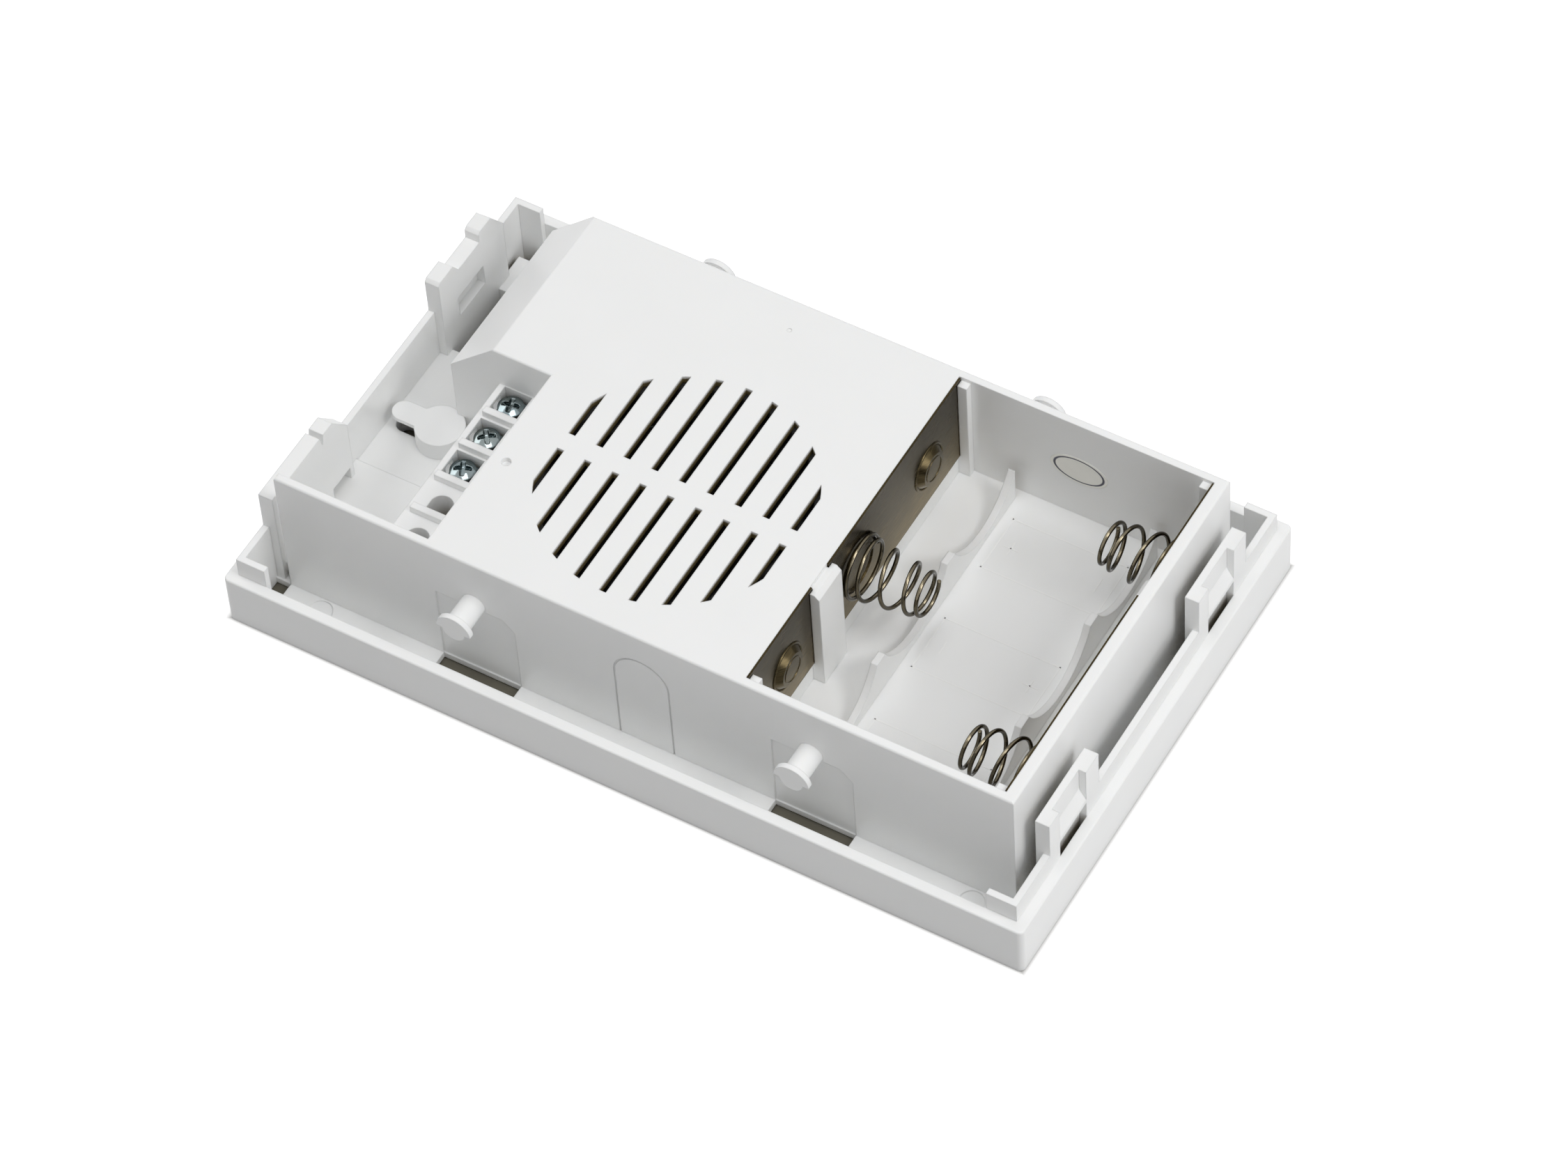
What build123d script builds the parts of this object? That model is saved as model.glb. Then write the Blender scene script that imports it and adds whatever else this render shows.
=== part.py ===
"""Battery doorbell chime box, as it looks with its front cover taken off.

Millimetres. The box lies on its back: +Z points away from the wall, X runs along the long
side from the wiring end (-X) to the battery end (+X), and the origin is the centre of the
back face.
"""

import os
from math import cos, pi, radians, sin, sqrt

from build123d import *

# Overall height; length and width follow from what the box holds
height = 34.5

# Rim and the locating lips inside it
rim_height = 12.2
rim_wall = 2.3
rim_corner_radius = 1.2
rim_edge_radius = 0.4
floor_thickness = 1.5
lip_wall = 1.4
lip_height = 16.9
lip_leg = 6.4

# Box inside the rim
box_front_inset = 11.5
box_right_inset = 7.6
front_wall_inset = 7.1
side_wall = 1.8
end_wall = 2.4
deck_thickness = 2.0
box_edge_radius = 0.5
slant_inset = 17.1
slant_run = 10.5
slant_drop = 10.2
slant_wall = 1.8

# Battery bay for three C cells
bay_length = 55.0
bay_floor = 7.0
bay_floor_thickness = 1.6
cell_radius = 13.1
cell_clearance = 0.3
cell_pitch = 27.0
cell_side_gap = 0.35
contact_height = 22.0
saddle_spacing = 31.0
saddle_thickness = 1.5
saddle_height = 16.0
saddle_end_gap = 1.95
saddle_root = 0.4

# Plate keepers in the bay
keeper_top_drops = (0.8, 4.5)
keeper_flange = 8.4
keeper_thickness = 2.0
keeper_chamfer = 1.0
corner_keeper = 1.7
keeper_web = 5.8

# Terminal strip
strip_inset = 28.3
strip_width = 12.3
strip_height = 24.8
strip_base = 15.0
strip_back = 4.15
pole_count = 5
fitted_count = 3
pole_pitch = 8.8
first_pole = 0.85
pole_inset = 32.7
pocket_size = 6.2
pole_rib = 1.5
pole_rib_height = 1.5
blank_hole_radius = 2.4
blank_hole_offset = 1.4
blank_hole_shift = 1.1
blank_hole_flat = 1.9
wire_window_width = 2.8
wire_window_height = 2.4

# Terminal hardware: M3 screws with captive clamp plates
thread_radius = 1.5
running_gap = 0.05
post_size = 5.4
post_top = 21.6
clamp_thickness = 0.8
clamp_gap = 0.03
screw_head_radius = 2.7
screw_head_height = 2.1
screw_head_edge = 0.5
cross_length = 4.0
cross_width = 0.9
cross_depth = 1.1
screw_length = 7.6

# Speaker grille
grille_edge = 1.15
slot_count = 9
slot_pitch = 6.1
slot_width = 1.55
grille_bar = 4.04

# Wiring bay
wiring_floor = 4.5
wiring_floor_thickness = 1.5
wiring_skirt = 1.8
wiring_edge_gap = 1.0
wiring_back_gap = 1.75
wiring_step_y = -12.5
wiring_step = 0.8
keyhole_inset = 15.6
keyhole_radius = 4.2
keyhole_slot = 4.0
keyhole_reach = 8.2
keyhole_boss_wall = 1.8
keyhole_roof_gap = 3.4
keyhole_roof_thickness = 0.9

# Cable and latch openings through the left end of the floor
corner_hole_width = 3.4
latch_floor_hole = 4.4
wiring_notch = 2.6

# Latch hooks on the left, outlines in Y and Z
hook_top = 26.2
hook_saddle = 23.5
hook_shoulder = 20.6
hook_nose = 0.7
rear_hook_front = 18.55
rear_hook_prong = 5.3
rear_hook_chamfer = 1.8
rear_hook_gap = 7.8
rear_hook_horn = 4.5
rear_hook_slope = 4.0
rear_hook_window = (24.4, 33.8)
rear_hook_window_height = (10.8, 16.0)
hook_thickness = 3.2
front_hook_front = -41.75
front_hook_notch = -24.15
notch_width = 0.5
front_hook_tongue = 3.7
front_hook_slope = 4.1
front_hook_window = (-23.0, -17.0)
front_hook_window_height = (5.3, 8.5)

# Snap brackets on the right
bracket_inner = 19.7
bracket_length = 18.85
bracket_height = 26.0
bracket_plate = 1.5
bracket_depth = 3.0
bracket_front_post = 3.8
bracket_rear_post = 4.9
catch_top = 20.2
catch_edge = 17.4
catch_under = 15.6
catch_flat = 0.9
catch_slot_floor = 6.0

# Pegs, windows and knock-out on the long walls
peg_spacing = 73.6
peg_height = 22.3
peg_radius = 2.5
peg_length = 7.5
peg_flange_radius = 3.8
peg_flange = 1.2
window_width = 17.4
window_top = 20.9
window_depth = 0.3
window_chamfer = 2.6
window_slot = 4.5
knockout_width = 12.2
knockout_top = 27.2
knockout_groove = 0.35

# Small moulding marks
ejector_radius = 2.5
ejector_depth = 0.2
ejector_inset_x = 15.6
ejector_inset_y = 8.6
deck_pin_radius = 0.95
deck_pin_depth = 1.0
deck_pin_inset = (3.6, 22.5)
gate_radius = 0.45
gate_depth = 0.15
gate_shift = -0.55
gate_inset = 7.1

# How far cutting shapes run past the surface they open
overrun = 2.0

# Bosses in the electronics bay
boss_radius = 2.8
pilot_radius = 1.25
pilot_depth = 8.0
pilot_roof = 0.8
cover_thickness = 1.8
cover_gap = 0.25
cover_boss_top = 13.0
cover_boss_inset = 4.0
cover_boss_left_inset = 7.4
cover_screw_head = 2.75
cover_screw_shank = 1.2
cover_screw_length = 9.0
cover_hole_radius = 1.5
cover_head_depth = 1.3
cover_cross_length = 2.8
cover_cross_depth = 0.8
cover_rib = 1.2
cover_rib_height = 0.9
cover_rib_margin = 7.2

# Speaker, 57 mm across
speaker_radius = 28.5
speaker_left_room = 5.25
speaker_right_room = 3.55
speaker_front_room = 3.5
gasket_height = 2.7
gasket_width = 2.6
flange_thickness = 0.7
landing_thickness = 0.3
locating_ring = 1.2
locating_gap = 0.3
locating_height = 3.3
clamp_angles = (90, 220, 320)
clamp_offset = 3.1
clamp_washer_radius = 4.0
clamp_washer_thickness = 0.8
small_screw_head_radius = 2.3
small_screw_head_height = 1.6
small_screw_head_edge = 0.4
clamp_screw_length = 5.0
basket_floor_drop = 8.0
basket_step_drop = 6.7
basket_floor_inner = 8.5
basket_floor_outer = 12.6
basket_step_inner = 13.2
basket_step_outer = 15.6
basket_flange = 3.9
basket_window_inner = 17.0
basket_window_edge = 1.2
basket_spoke = 7.0
basket_spokes = 4
pole_plate_radius = 14.5
pole_plate_bore = 7.45
pole_plate_thickness = 2.0
magnet_radius = 16.0
magnet_bore = 8.4
magnet_height = 4.8
yoke_thickness = 1.8
pole_radius = 6.2
former_inner = 6.55
former_outer = 6.7
former_height = 6.1
former_drop = 5.0
winding_outer = 7.1
winding_height = 3.0
cone_thickness = 0.4
cone_neck = 7.2
cone_flat = 1.0
surround_width = 3.4
cone_neck_drop = 5.8
surround_roll = 1.0
dust_cap_radius = 8.4
dust_cap_foot = 0.8
dust_cap_thickness = 0.3
dust_cap_rise = 2.0
spider_waves = 6
spider_wave_height = 0.35
spider_thickness = 0.3
spider_gap = 0.02
lug_board_start = 14.2
lug_board_length = 6.6
lug_board_width = 11.0
lug_board_thickness = 1.0
lug_width = 2.4
lug_thickness = 0.4
lug_spacing = 6.0
lug_start = 17.6
lug_length = 6.2
lug_hole = 0.6
lug_hole_inset = 1.3

# Circuit board
board_thickness = 1.6
board_top_drop = 1.9
board_length = 30.0
board_width = 62.0
board_left_room = 0.4
board_front_room = 10.45
board_screw_insets = ((3.0, 58.5), (26.0, 58.5), (7.8, 3.0))
board_screw_length = 8.5
chip_inset = (11.5, 44.0)
chip_radius = 4.6
chip_rise = 1.7
supply_capacitor_inset = (22.0, 44.5)
supply_capacitor_radius = 4.0
supply_capacitor_height = 11.5
supply_capacitor_groove = 0.25
output_capacitor_inset = (22.5, 32.5)
output_capacitor_radius = 2.5
output_capacitor_height = 8.0
transistor_insets = ((5.0, 49.5), (5.0, 42.0))
transistor_radius = 2.3
transistor_flat = 1.2
transistor_height = 4.6
transistor_standoff = 2.0
resistor_insets = ((13.5, 58.5), (13.5, 54.5), (20.5, 22.0), (20.5, 17.5), (20.5, 13.0))
resistor_radius = 1.15
resistor_length = 6.2
resistor_lead = 9.5
lead_radius = 0.3
disc_insets = ((12.5, 50.5), (20.5, 8.0))
disc_radius = 2.4
disc_thickness = 1.4
disc_standoff = 1.2
lead_spread = 1.27

# Sheet metal contacts
plate_thickness = 0.4
plate_bottom = 12.1
plate_top_drop = 0.1
plate_end_gap = 0.2
plate_clearance = 0.08
dimple_radius = 4.7
dimple_height = 1.2
dimple_crown_radius = 3.6
tag_width = 3.0
tag_length = 5.0
tag_clearance = 0.15
seat_ring_width = 0.7
seat_ring_height = 0.25

# Battery springs
wire_diameter = 0.9
spring_length = 15.6
spring_base_radius = 6.7
spring_tip_radius = 4.0
spring_turns = 5
spring_seat_gap = 0.03
spring_bite_share = 0.5
spring_steps = 4
spring_checks = 400

# Label
label_width = 12.5
label_height = 7.5
label_thickness = 0.08
label_inset = 25.8
label_z = 20.7

# Places worked out from the sizes above
wiring_length = strip_inset + strip_width + side_wall
speaker_room = speaker_left_room + 2 * speaker_radius + speaker_right_room
battery_length = side_wall + bay_length + end_wall + box_right_inset
length = wiring_length + speaker_room + battery_length
width = 2 * (box_front_inset + side_wall + cell_side_gap + cell_radius + cell_pitch)
x_left = -length / 2
x_right = length / 2
y_front = -width / 2
y_back = width / 2
box_y = y_back - box_front_inset
box_inner_y = box_y - side_wall
box_right = x_right - box_right_inset
bay_right = box_right - end_wall
bay_left = bay_right - bay_length
partition_left = bay_left - side_wall
front_wall_left = x_left + front_wall_inset
slant_left = x_left + slant_inset
ridge_x = slant_left + slant_run
slant_foot = height - slant_drop
strip_left = x_left + strip_inset
strip_right = strip_left + strip_width
strip_cavity_left = strip_left + side_wall
deck_cavity_left = strip_right + side_wall
slant_cavity_left = slant_left + slant_wall
deck_under = height - deck_thickness
grille_x = partition_left - speaker_right_room - speaker_radius
grille_y = -box_inner_y + speaker_front_room + speaker_radius
grille_radius = speaker_radius - grille_edge
deck_pin_place = (strip_right + deck_pin_inset[0], -box_inner_y + deck_pin_inset[1])
gate_place = (grille_x + gate_shift, box_y - gate_inset)
basket_mouth = speaker_radius - basket_flange
basket_window_outer = basket_mouth - basket_window_edge
cone_edge = basket_mouth - surround_width
cone_flat_edge = cone_edge - cone_flat
pole_x = x_left + pole_inset
pole_places = [first_pole - pole_pitch * index for index in range(pole_count)]
lip_inner = rim_wall + lip_wall
keyhole_x = x_left + keyhole_inset
board_top = strip_base - board_top_drop
speaker_top = deck_under - gasket_height - landing_thickness
board_left = strip_cavity_left + board_left_room
board_right = board_left + board_length
board_front = -box_inner_y + board_front_room
board_back = board_front + board_width
label_x = bay_left + label_inset
saddle_x = [(bay_left + bay_right) / 2 + side * saddle_spacing / 2 for side in (-1, 1)]
lip_left = x_left + lip_inner
wiring_left = lip_left + wiring_edge_gap
wiring_back = y_back - lip_inner - wiring_back_gap
slant_slope = slant_drop / slant_run
slant_depth = slant_wall * sqrt(1 + slant_slope**2)
hook_inner = x_left + rim_wall + hook_thickness
rear_horn_front = rear_hook_front + rear_hook_prong + rear_hook_chamfer + rear_hook_gap
rear_horn_back = rear_horn_front + rear_hook_horn
rear_hook_back = rear_horn_back + rear_hook_slope
front_hook_back = front_hook_notch + notch_width + front_hook_tongue + front_hook_slope
bracket_right = x_right - rim_wall
bracket_left = bracket_right - bracket_depth
blank_hole_x = pole_x + blank_hole_offset
clamp_circle = speaker_radius + clamp_offset
clamp_places = [
    (grille_x + clamp_circle * cos(radians(angle)), grille_y + clamp_circle * sin(radians(angle)))
    for angle in clamp_angles
]
cover_screw_places = [
    (partition_left - cover_boss_inset, -box_inner_y + cover_boss_inset),
    (partition_left - cover_boss_inset, box_inner_y - cover_boss_inset),
    (slant_cavity_left + cover_boss_inset, box_inner_y - cover_boss_inset),
    (strip_cavity_left + cover_boss_left_inset, -box_inner_y + cover_boss_inset),
]
keeper_y = cell_pitch / 2
keeper_front = plate_thickness + plate_clearance
bracket_spans = (
    (-bracket_inner - bracket_length, -bracket_inner),
    (bracket_inner, bracket_inner + bracket_length),
)
catch_spans = [
    (ends[0] + bracket_front_post, ends[1] - bracket_rear_post) for ends in bracket_spans
]


def on_board(inset):
    """A place on the circuit board, counted from its front left corner."""
    return (board_left + inset[0], board_front + inset[1])


board_screw_places = [on_board(inset) for inset in board_screw_insets]
chip_place = on_board(chip_inset)
supply_capacitor_place = on_board(supply_capacitor_inset)
output_capacitor_place = on_board(output_capacitor_inset)
transistor_places = [on_board(inset) for inset in transistor_insets]
resistor_places = [on_board(inset) for inset in resistor_insets]
disc_places = [on_board(inset) for inset in disc_insets]


def block(x_span, y_span, z_span, mode=Mode.ADD):
    """A box between two corners, joined to or cut from the piece being built."""
    with Locations((x_span[0], y_span[0], z_span[0])):
        Box(
            x_span[1] - x_span[0],
            y_span[1] - y_span[0],
            z_span[1] - z_span[0],
            align=(Align.MIN, Align.MIN, Align.MIN),
            mode=mode,
        )


def post(place, radius, low, high, mode=Mode.ADD):
    """An upright round bar between two heights."""
    with Locations((place[0], place[1], low)):
        Cylinder(radius, high - low, align=(Align.CENTER, Align.CENTER, Align.MIN), mode=mode)


def outline(points, plane, amount, mode=Mode.ADD):
    """A polygon on a plane, extruded along the plane's normal."""
    with BuildSketch(plane) as profile:
        with BuildLine():
            Polyline(*points, close=True)
        make_face()
    extrude(profile.sketch, amount=amount, mode=mode)


def span(first, second):
    """Two places in rising order."""
    return (min(first, second), max(first, second))


# The box body, still solid: deck, slanted wiring end, terminal strip and long front wall
with BuildPart() as box_body:
    with BuildSketch(Plane.XY):
        with BuildLine():
            Polyline(
                (slant_left, strip_back),
                (strip_right, strip_back),
                (strip_right, -box_inner_y),
                (front_wall_left, -box_inner_y),
                (front_wall_left, -box_y),
                (box_right, -box_y),
                (box_right, box_y),
                (slant_left, box_y),
                close=True,
            )
        make_face()
    extrude(amount=height)
    outline(
        (
            (slant_left, slant_foot),
            (ridge_x, height),
            (ridge_x, height + overrun),
            (slant_left - overrun, height + overrun),
            (slant_left - overrun, slant_foot),
        ),
        Plane.XZ.offset(-box_y - overrun),
        box_y - strip_back + 2 * overrun,
        Mode.SUBTRACT,
    )
    fillet(box_body.edges().group_by(Axis.Z)[-1], radius=box_edge_radius)
    block((strip_left, strip_right), (-box_inner_y, strip_back), (0, strip_height))

# Rim round a low channel floor, with locating lips: both ends and short legs at the corners
with BuildPart() as rim:
    block((x_left, x_right), (y_front, y_back), (0, rim_height))
    fillet(rim.edges().filter_by(Axis.Z), radius=rim_corner_radius)
    fillet(rim.edges().group_by(Axis.Z)[-1], radius=rim_edge_radius)
    block(
        (x_left + rim_wall, x_right - rim_wall),
        (y_front + rim_wall, y_back - rim_wall),
        (floor_thickness, rim_height + overrun),
        Mode.SUBTRACT,
    )
    with BuildSketch(Plane.XY.offset(floor_thickness)):
        Rectangle(length - 2 * rim_wall, width - 2 * rim_wall)
        Rectangle(length - 2 * lip_inner, width - 2 * lip_inner, mode=Mode.SUBTRACT)
        Rectangle(length - 2 * rim_wall - 2 * lip_leg, width, mode=Mode.SUBTRACT)
    extrude(amount=lip_height - floor_thickness)

# Openings right through the channel floor, ejector marks, and the room for the wiring bay
with BuildPart() as floor_holes:
    for side in (-1, 1):
        for peg in (-1, 1):
            block(
                (
                    peg * peg_spacing / 2 - window_width / 2,
                    peg * peg_spacing / 2 + window_width / 2,
                ),
                span(side * (box_y - overrun), side * (box_y + window_slot)),
                (-overrun, floor_thickness + overrun),
            )
            post(
                (peg * (x_right - ejector_inset_x), side * (y_back - ejector_inset_y)),
                ejector_radius,
                floor_thickness - ejector_depth,
                floor_thickness + ejector_depth,
            )
    block(
        (lip_left, lip_left + corner_hole_width),
        (y_front + lip_inner, -box_y),
        (-overrun, floor_thickness + overrun),
    )
    block(
        (lip_left, slant_left + overrun),
        (strip_back, y_back - lip_inner),
        (-overrun, floor_thickness + overrun),
    )

# Wiring bay floor, raised on a skirt, with a slit between it and the lips
with BuildPart() as wiring_bay:
    block((wiring_left, slant_left), (strip_back, wiring_back), (0, wiring_floor))
    block((lip_left, strip_left), (-box_inner_y, strip_back), (0, wiring_floor))
    block((lip_left, wiring_left), (strip_back, rear_hook_front), (0, wiring_floor))
    block(
        (lip_left, strip_left),
        (-box_inner_y, wiring_step_y),
        (wiring_floor, wiring_floor + wiring_step),
    )
    block(
        (wiring_left, wiring_left + wiring_notch),
        (wiring_back - wiring_notch / 2, wiring_back),
        (0, wiring_floor),
        Mode.SUBTRACT,
    )
    block(
        (lip_left + wiring_skirt, strip_left),
        (-box_inner_y, strip_back),
        (0, wiring_floor - wiring_floor_thickness),
        Mode.SUBTRACT,
    )
    block(
        (wiring_left + wiring_skirt, slant_left),
        (strip_back - overrun, wiring_back - wiring_skirt),
        (0, wiring_floor - wiring_floor_thickness),
        Mode.SUBTRACT,
    )

# Latch hooks: at the back two prongs and a long slope, in front a slab, a notch and a tongue
with BuildPart() as latch_hooks:
    outline(
        (
            (rear_hook_front, 0),
            (rear_hook_front, hook_top - hook_nose),
            (rear_hook_front + hook_nose, hook_top),
            (rear_hook_front + rear_hook_prong, hook_top),
            (rear_hook_front + rear_hook_prong + rear_hook_chamfer, hook_saddle),
            (rear_horn_front, hook_saddle),
            (rear_horn_front, hook_top - hook_nose),
            (rear_horn_front + hook_nose, hook_top),
            (rear_horn_back, hook_top),
            (rear_hook_back, hook_shoulder),
            (rear_hook_back, 0),
        ),
        Plane.YZ.offset(x_left + rim_wall),
        hook_thickness,
    )
    outline(
        (
            (front_hook_front, 0),
            (front_hook_front, hook_top),
            (front_hook_notch - hook_nose, hook_top),
            (front_hook_notch, hook_saddle),
            (front_hook_notch + notch_width, hook_top),
            (front_hook_notch + front_hook_tongue, hook_top),
            (front_hook_back, hook_shoulder),
            (front_hook_back, 0),
        ),
        Plane.YZ.offset(x_left + rim_wall),
        hook_thickness,
    )
    block((lip_left, hook_inner), rear_hook_window, rear_hook_window_height, Mode.SUBTRACT)
    block((lip_left, hook_inner), front_hook_window, front_hook_window_height, Mode.SUBTRACT)

# Battery bay, the shallow pan behind it and the electronics bay, open at the back
with BuildPart() as hollows:
    block((bay_left, bay_right), (-box_inner_y, box_inner_y), (bay_floor, height + overrun))
    block(
        (bay_left, bay_right),
        (-box_inner_y, box_inner_y),
        (-overrun, bay_floor - bay_floor_thickness),
    )
    block(
        (deck_cavity_left, partition_left),
        (-box_inner_y, box_inner_y),
        (-overrun, deck_under),
    )
    block(
        (strip_cavity_left, deck_cavity_left),
        (-box_inner_y, strip_back + side_wall),
        (-overrun, strip_base),
    )
    outline(
        (
            (slant_cavity_left, -overrun),
            (deck_cavity_left, -overrun),
            (deck_cavity_left, deck_under),
            (slant_left + (deck_under + slant_depth - slant_foot) / slant_slope, deck_under),
            (slant_cavity_left, slant_foot + slant_wall * slant_slope - slant_depth),
        ),
        Plane.XZ.offset(-box_inner_y),
        box_inner_y - strip_back - side_wall,
    )

# Speaker grille: rows of slots inside a circle, split by a bar
with BuildPart() as grille_slots:
    with BuildSketch(Plane.XY.offset(deck_under - overrun)):
        with Locations((grille_x, grille_y)):
            with GridLocations(slot_pitch, 0, slot_count, 1):
                Rectangle(slot_width, 2 * grille_radius)
            Circle(grille_radius, mode=Mode.INTERSECT)
            Rectangle(2 * grille_radius, grille_bar, mode=Mode.SUBTRACT)
    extrude(amount=deck_thickness + 2 * overrun)

# Terminal strip: a pocket for each fitted pole, an arched hole for each blank one
with BuildPart() as strip_holes:
    for index, place in enumerate(pole_places):
        if index < fitted_count:
            block(
                (pole_x - pocket_size / 2, pole_x + pocket_size / 2),
                (place - pocket_size / 2, place + pocket_size / 2),
                (strip_base - overrun, strip_height + overrun),
            )
            block(
                (strip_left - overrun, strip_left + side_wall + overrun),
                (place - wire_window_width / 2, place + wire_window_width / 2),
                (post_top, post_top + wire_window_height),
            )
        else:
            with BuildSketch(Plane.XY.offset(strip_base - overrun)):
                with Locations((blank_hole_x, place - blank_hole_shift)):
                    Circle(blank_hole_radius)
                    Rectangle(
                        2 * blank_hole_radius,
                        2 * blank_hole_radius,
                        align=(Align.CENTER, Align.MAX),
                        mode=Mode.SUBTRACT,
                    )
                    Rectangle(
                        2 * blank_hole_radius,
                        blank_hole_flat,
                        align=(Align.CENTER, Align.MAX),
                    )
            extrude(amount=strip_height - strip_base + 2 * overrun)

# Keyhole for a wall screw
with BuildPart() as keyhole:
    with BuildSketch(Plane.XY.offset(-overrun)):
        with Locations((keyhole_x, 0)):
            Circle(keyhole_radius)
        with Locations((keyhole_x - keyhole_reach, 0)):
            Circle(keyhole_slot / 2)
        with Locations((keyhole_x - keyhole_reach / 2, 0)):
            Rectangle(keyhole_reach, keyhole_slot)
    extrude(amount=wiring_floor + keyhole_roof_gap + overrun)

# Windows behind the pegs and the outline of the wire knock-out, in the two long walls
with BuildPart() as wall_recesses:
    for side in (-1, 1):
        for peg_x in (-peg_spacing / 2, peg_spacing / 2):
            outline(
                (
                    (peg_x - window_width / 2, floor_thickness),
                    (peg_x + window_width / 2, floor_thickness),
                    (peg_x + window_width / 2, window_top - window_chamfer),
                    (peg_x + window_width / 2 - window_chamfer, window_top),
                    (peg_x - window_width / 2, window_top),
                ),
                Plane.XZ.offset(-side * box_y),
                side * window_depth,
            )
    with BuildSketch(Plane.XZ.offset(box_y)) as knockout:
        with Locations((0, knockout_top - knockout_width / 2)):
            Circle(knockout_width / 2)
            Circle(knockout_width / 2 - knockout_groove, mode=Mode.SUBTRACT)
            Rectangle(
                knockout_width,
                knockout_width,
                align=(Align.CENTER, Align.MAX),
                mode=Mode.SUBTRACT,
            )
        for side in (-1, 1):
            with Locations((side * (knockout_width - knockout_groove) / 2, floor_thickness)):
                Rectangle(
                    knockout_groove,
                    knockout_top - knockout_width / 2 - floor_thickness,
                    align=(Align.CENTER, Align.MIN),
                )
    extrude(knockout.sketch, amount=-window_depth)

# Latch opening, bracket slots, tag slot, the deck's blind pin hole and the gate mark
with BuildPart() as small_openings:
    block(
        (hook_inner, hook_inner + latch_floor_hole),
        (rear_hook_front + wiring_skirt, rear_horn_back),
        (-overrun, wiring_floor + overrun),
    )
    for catch in catch_spans:
        block(
            (bracket_left + bracket_plate, bracket_right),
            catch,
            (catch_slot_floor, lip_height + overrun),
        )
    block(
        (partition_left - overrun, bay_left + overrun),
        (
            -cell_pitch - tag_width / 2 - tag_clearance,
            -cell_pitch + tag_width / 2 + tag_clearance,
        ),
        (plate_bottom - tag_clearance, plate_bottom + plate_thickness + tag_clearance),
    )
    post(deck_pin_place, deck_pin_radius, height - deck_pin_depth, height + overrun)
    post(gate_place, gate_radius, height - gate_depth, height + overrun)

# Keyhole boss behind the floor and the dust roof over the keyhole
with BuildPart() as keyhole_boss:
    with BuildSketch(Plane.XY):
        with Locations((keyhole_x, 0)):
            Circle(keyhole_radius + keyhole_boss_wall)
        with Locations((keyhole_x - keyhole_reach / 2, 0)):
            Rectangle(keyhole_reach, keyhole_slot + 2 * keyhole_boss_wall)
    extrude(amount=wiring_floor)
    with BuildSketch(Plane.XY.offset(wiring_floor)):
        with Locations((keyhole_x, 0)):
            Circle(keyhole_radius + keyhole_roof_thickness)
    extrude(amount=keyhole_roof_gap)
    add(keyhole.part, mode=Mode.SUBTRACT)
    with BuildSketch(Plane.XY.offset(wiring_floor + keyhole_roof_gap)):
        with Locations((keyhole_x, 0)):
            Circle(keyhole_radius + keyhole_roof_thickness)
        with Locations((keyhole_x - keyhole_reach, 0)):
            Circle(keyhole_slot / 2 + keyhole_roof_thickness / 2)
        with Locations((keyhole_x - keyhole_reach / 2, 0)):
            Rectangle(keyhole_reach, keyhole_slot + keyhole_roof_thickness)
    extrude(amount=keyhole_roof_thickness)

# Ring that centres the speaker under the grille
with BuildPart() as speaker_seat:
    with BuildSketch(Plane.XY.offset(deck_under - locating_height)):
        with Locations((grille_x, grille_y)):
            Circle(speaker_radius + locating_gap + locating_ring)
            Circle(speaker_radius + locating_gap, mode=Mode.SUBTRACT)
    extrude(amount=locating_height)

# Bosses for the speaker clamps, the circuit board and the rear cover
with BuildPart() as bosses:
    for place in clamp_places:
        post(place, boss_radius, speaker_top - flange_thickness, deck_under)
    for place in board_screw_places:
        post(place, boss_radius, board_top, strip_base if place[1] < strip_back else deck_under)
    for place in cover_screw_places:
        wall_y = box_inner_y if place[1] > 0 else -box_inner_y
        post(place, boss_radius, cover_thickness, cover_boss_top)
        block(
            (place[0] - side_wall / 2, place[0] + side_wall / 2),
            span(place[1], wall_y),
            (cover_thickness, cover_boss_top),
        )

with BuildPart() as pilot_holes:
    for place in clamp_places:
        post(place, pilot_radius, speaker_top - flange_thickness - overrun, height - pilot_roof)
    for place in board_screw_places:
        post(place, pilot_radius, board_top - overrun, board_top + pilot_depth)
    for place in cover_screw_places:
        post(place, pilot_radius, cover_thickness - overrun, cover_thickness + pilot_depth)

# Ribs between the poles on the terminal strip
with BuildPart() as strip_ribs:
    for place in pole_places[1:]:
        middle = place + pole_pitch / 2
        block(
            (pole_x - pocket_size / 2, strip_right),
            (middle - pole_rib / 2, middle + pole_rib / 2),
            (strip_height, strip_height + pole_rib_height),
        )

# Snap brackets at the battery end: a plate, two posts and a sloping catch between them
with BuildPart() as brackets:
    for ends, catch in zip(bracket_spans, catch_spans):
        block((bracket_left, bracket_left + bracket_plate), ends, (0, bracket_height))
        block((bracket_left, bracket_right), (ends[0], catch[0]), (0, bracket_height))
        block((bracket_left, bracket_right), (catch[1], ends[1]), (0, bracket_height))
        block((bracket_left, bracket_right), catch, (0, catch_slot_floor))
        outline(
            (
                (bracket_left + bracket_plate, catch_under),
                (bracket_right, catch_under + catch_flat),
                (bracket_right, catch_edge),
                (bracket_left + bracket_plate, catch_top),
            ),
            Plane.XZ.offset(-catch[1]),
            catch[1] - catch[0],
        )

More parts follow.
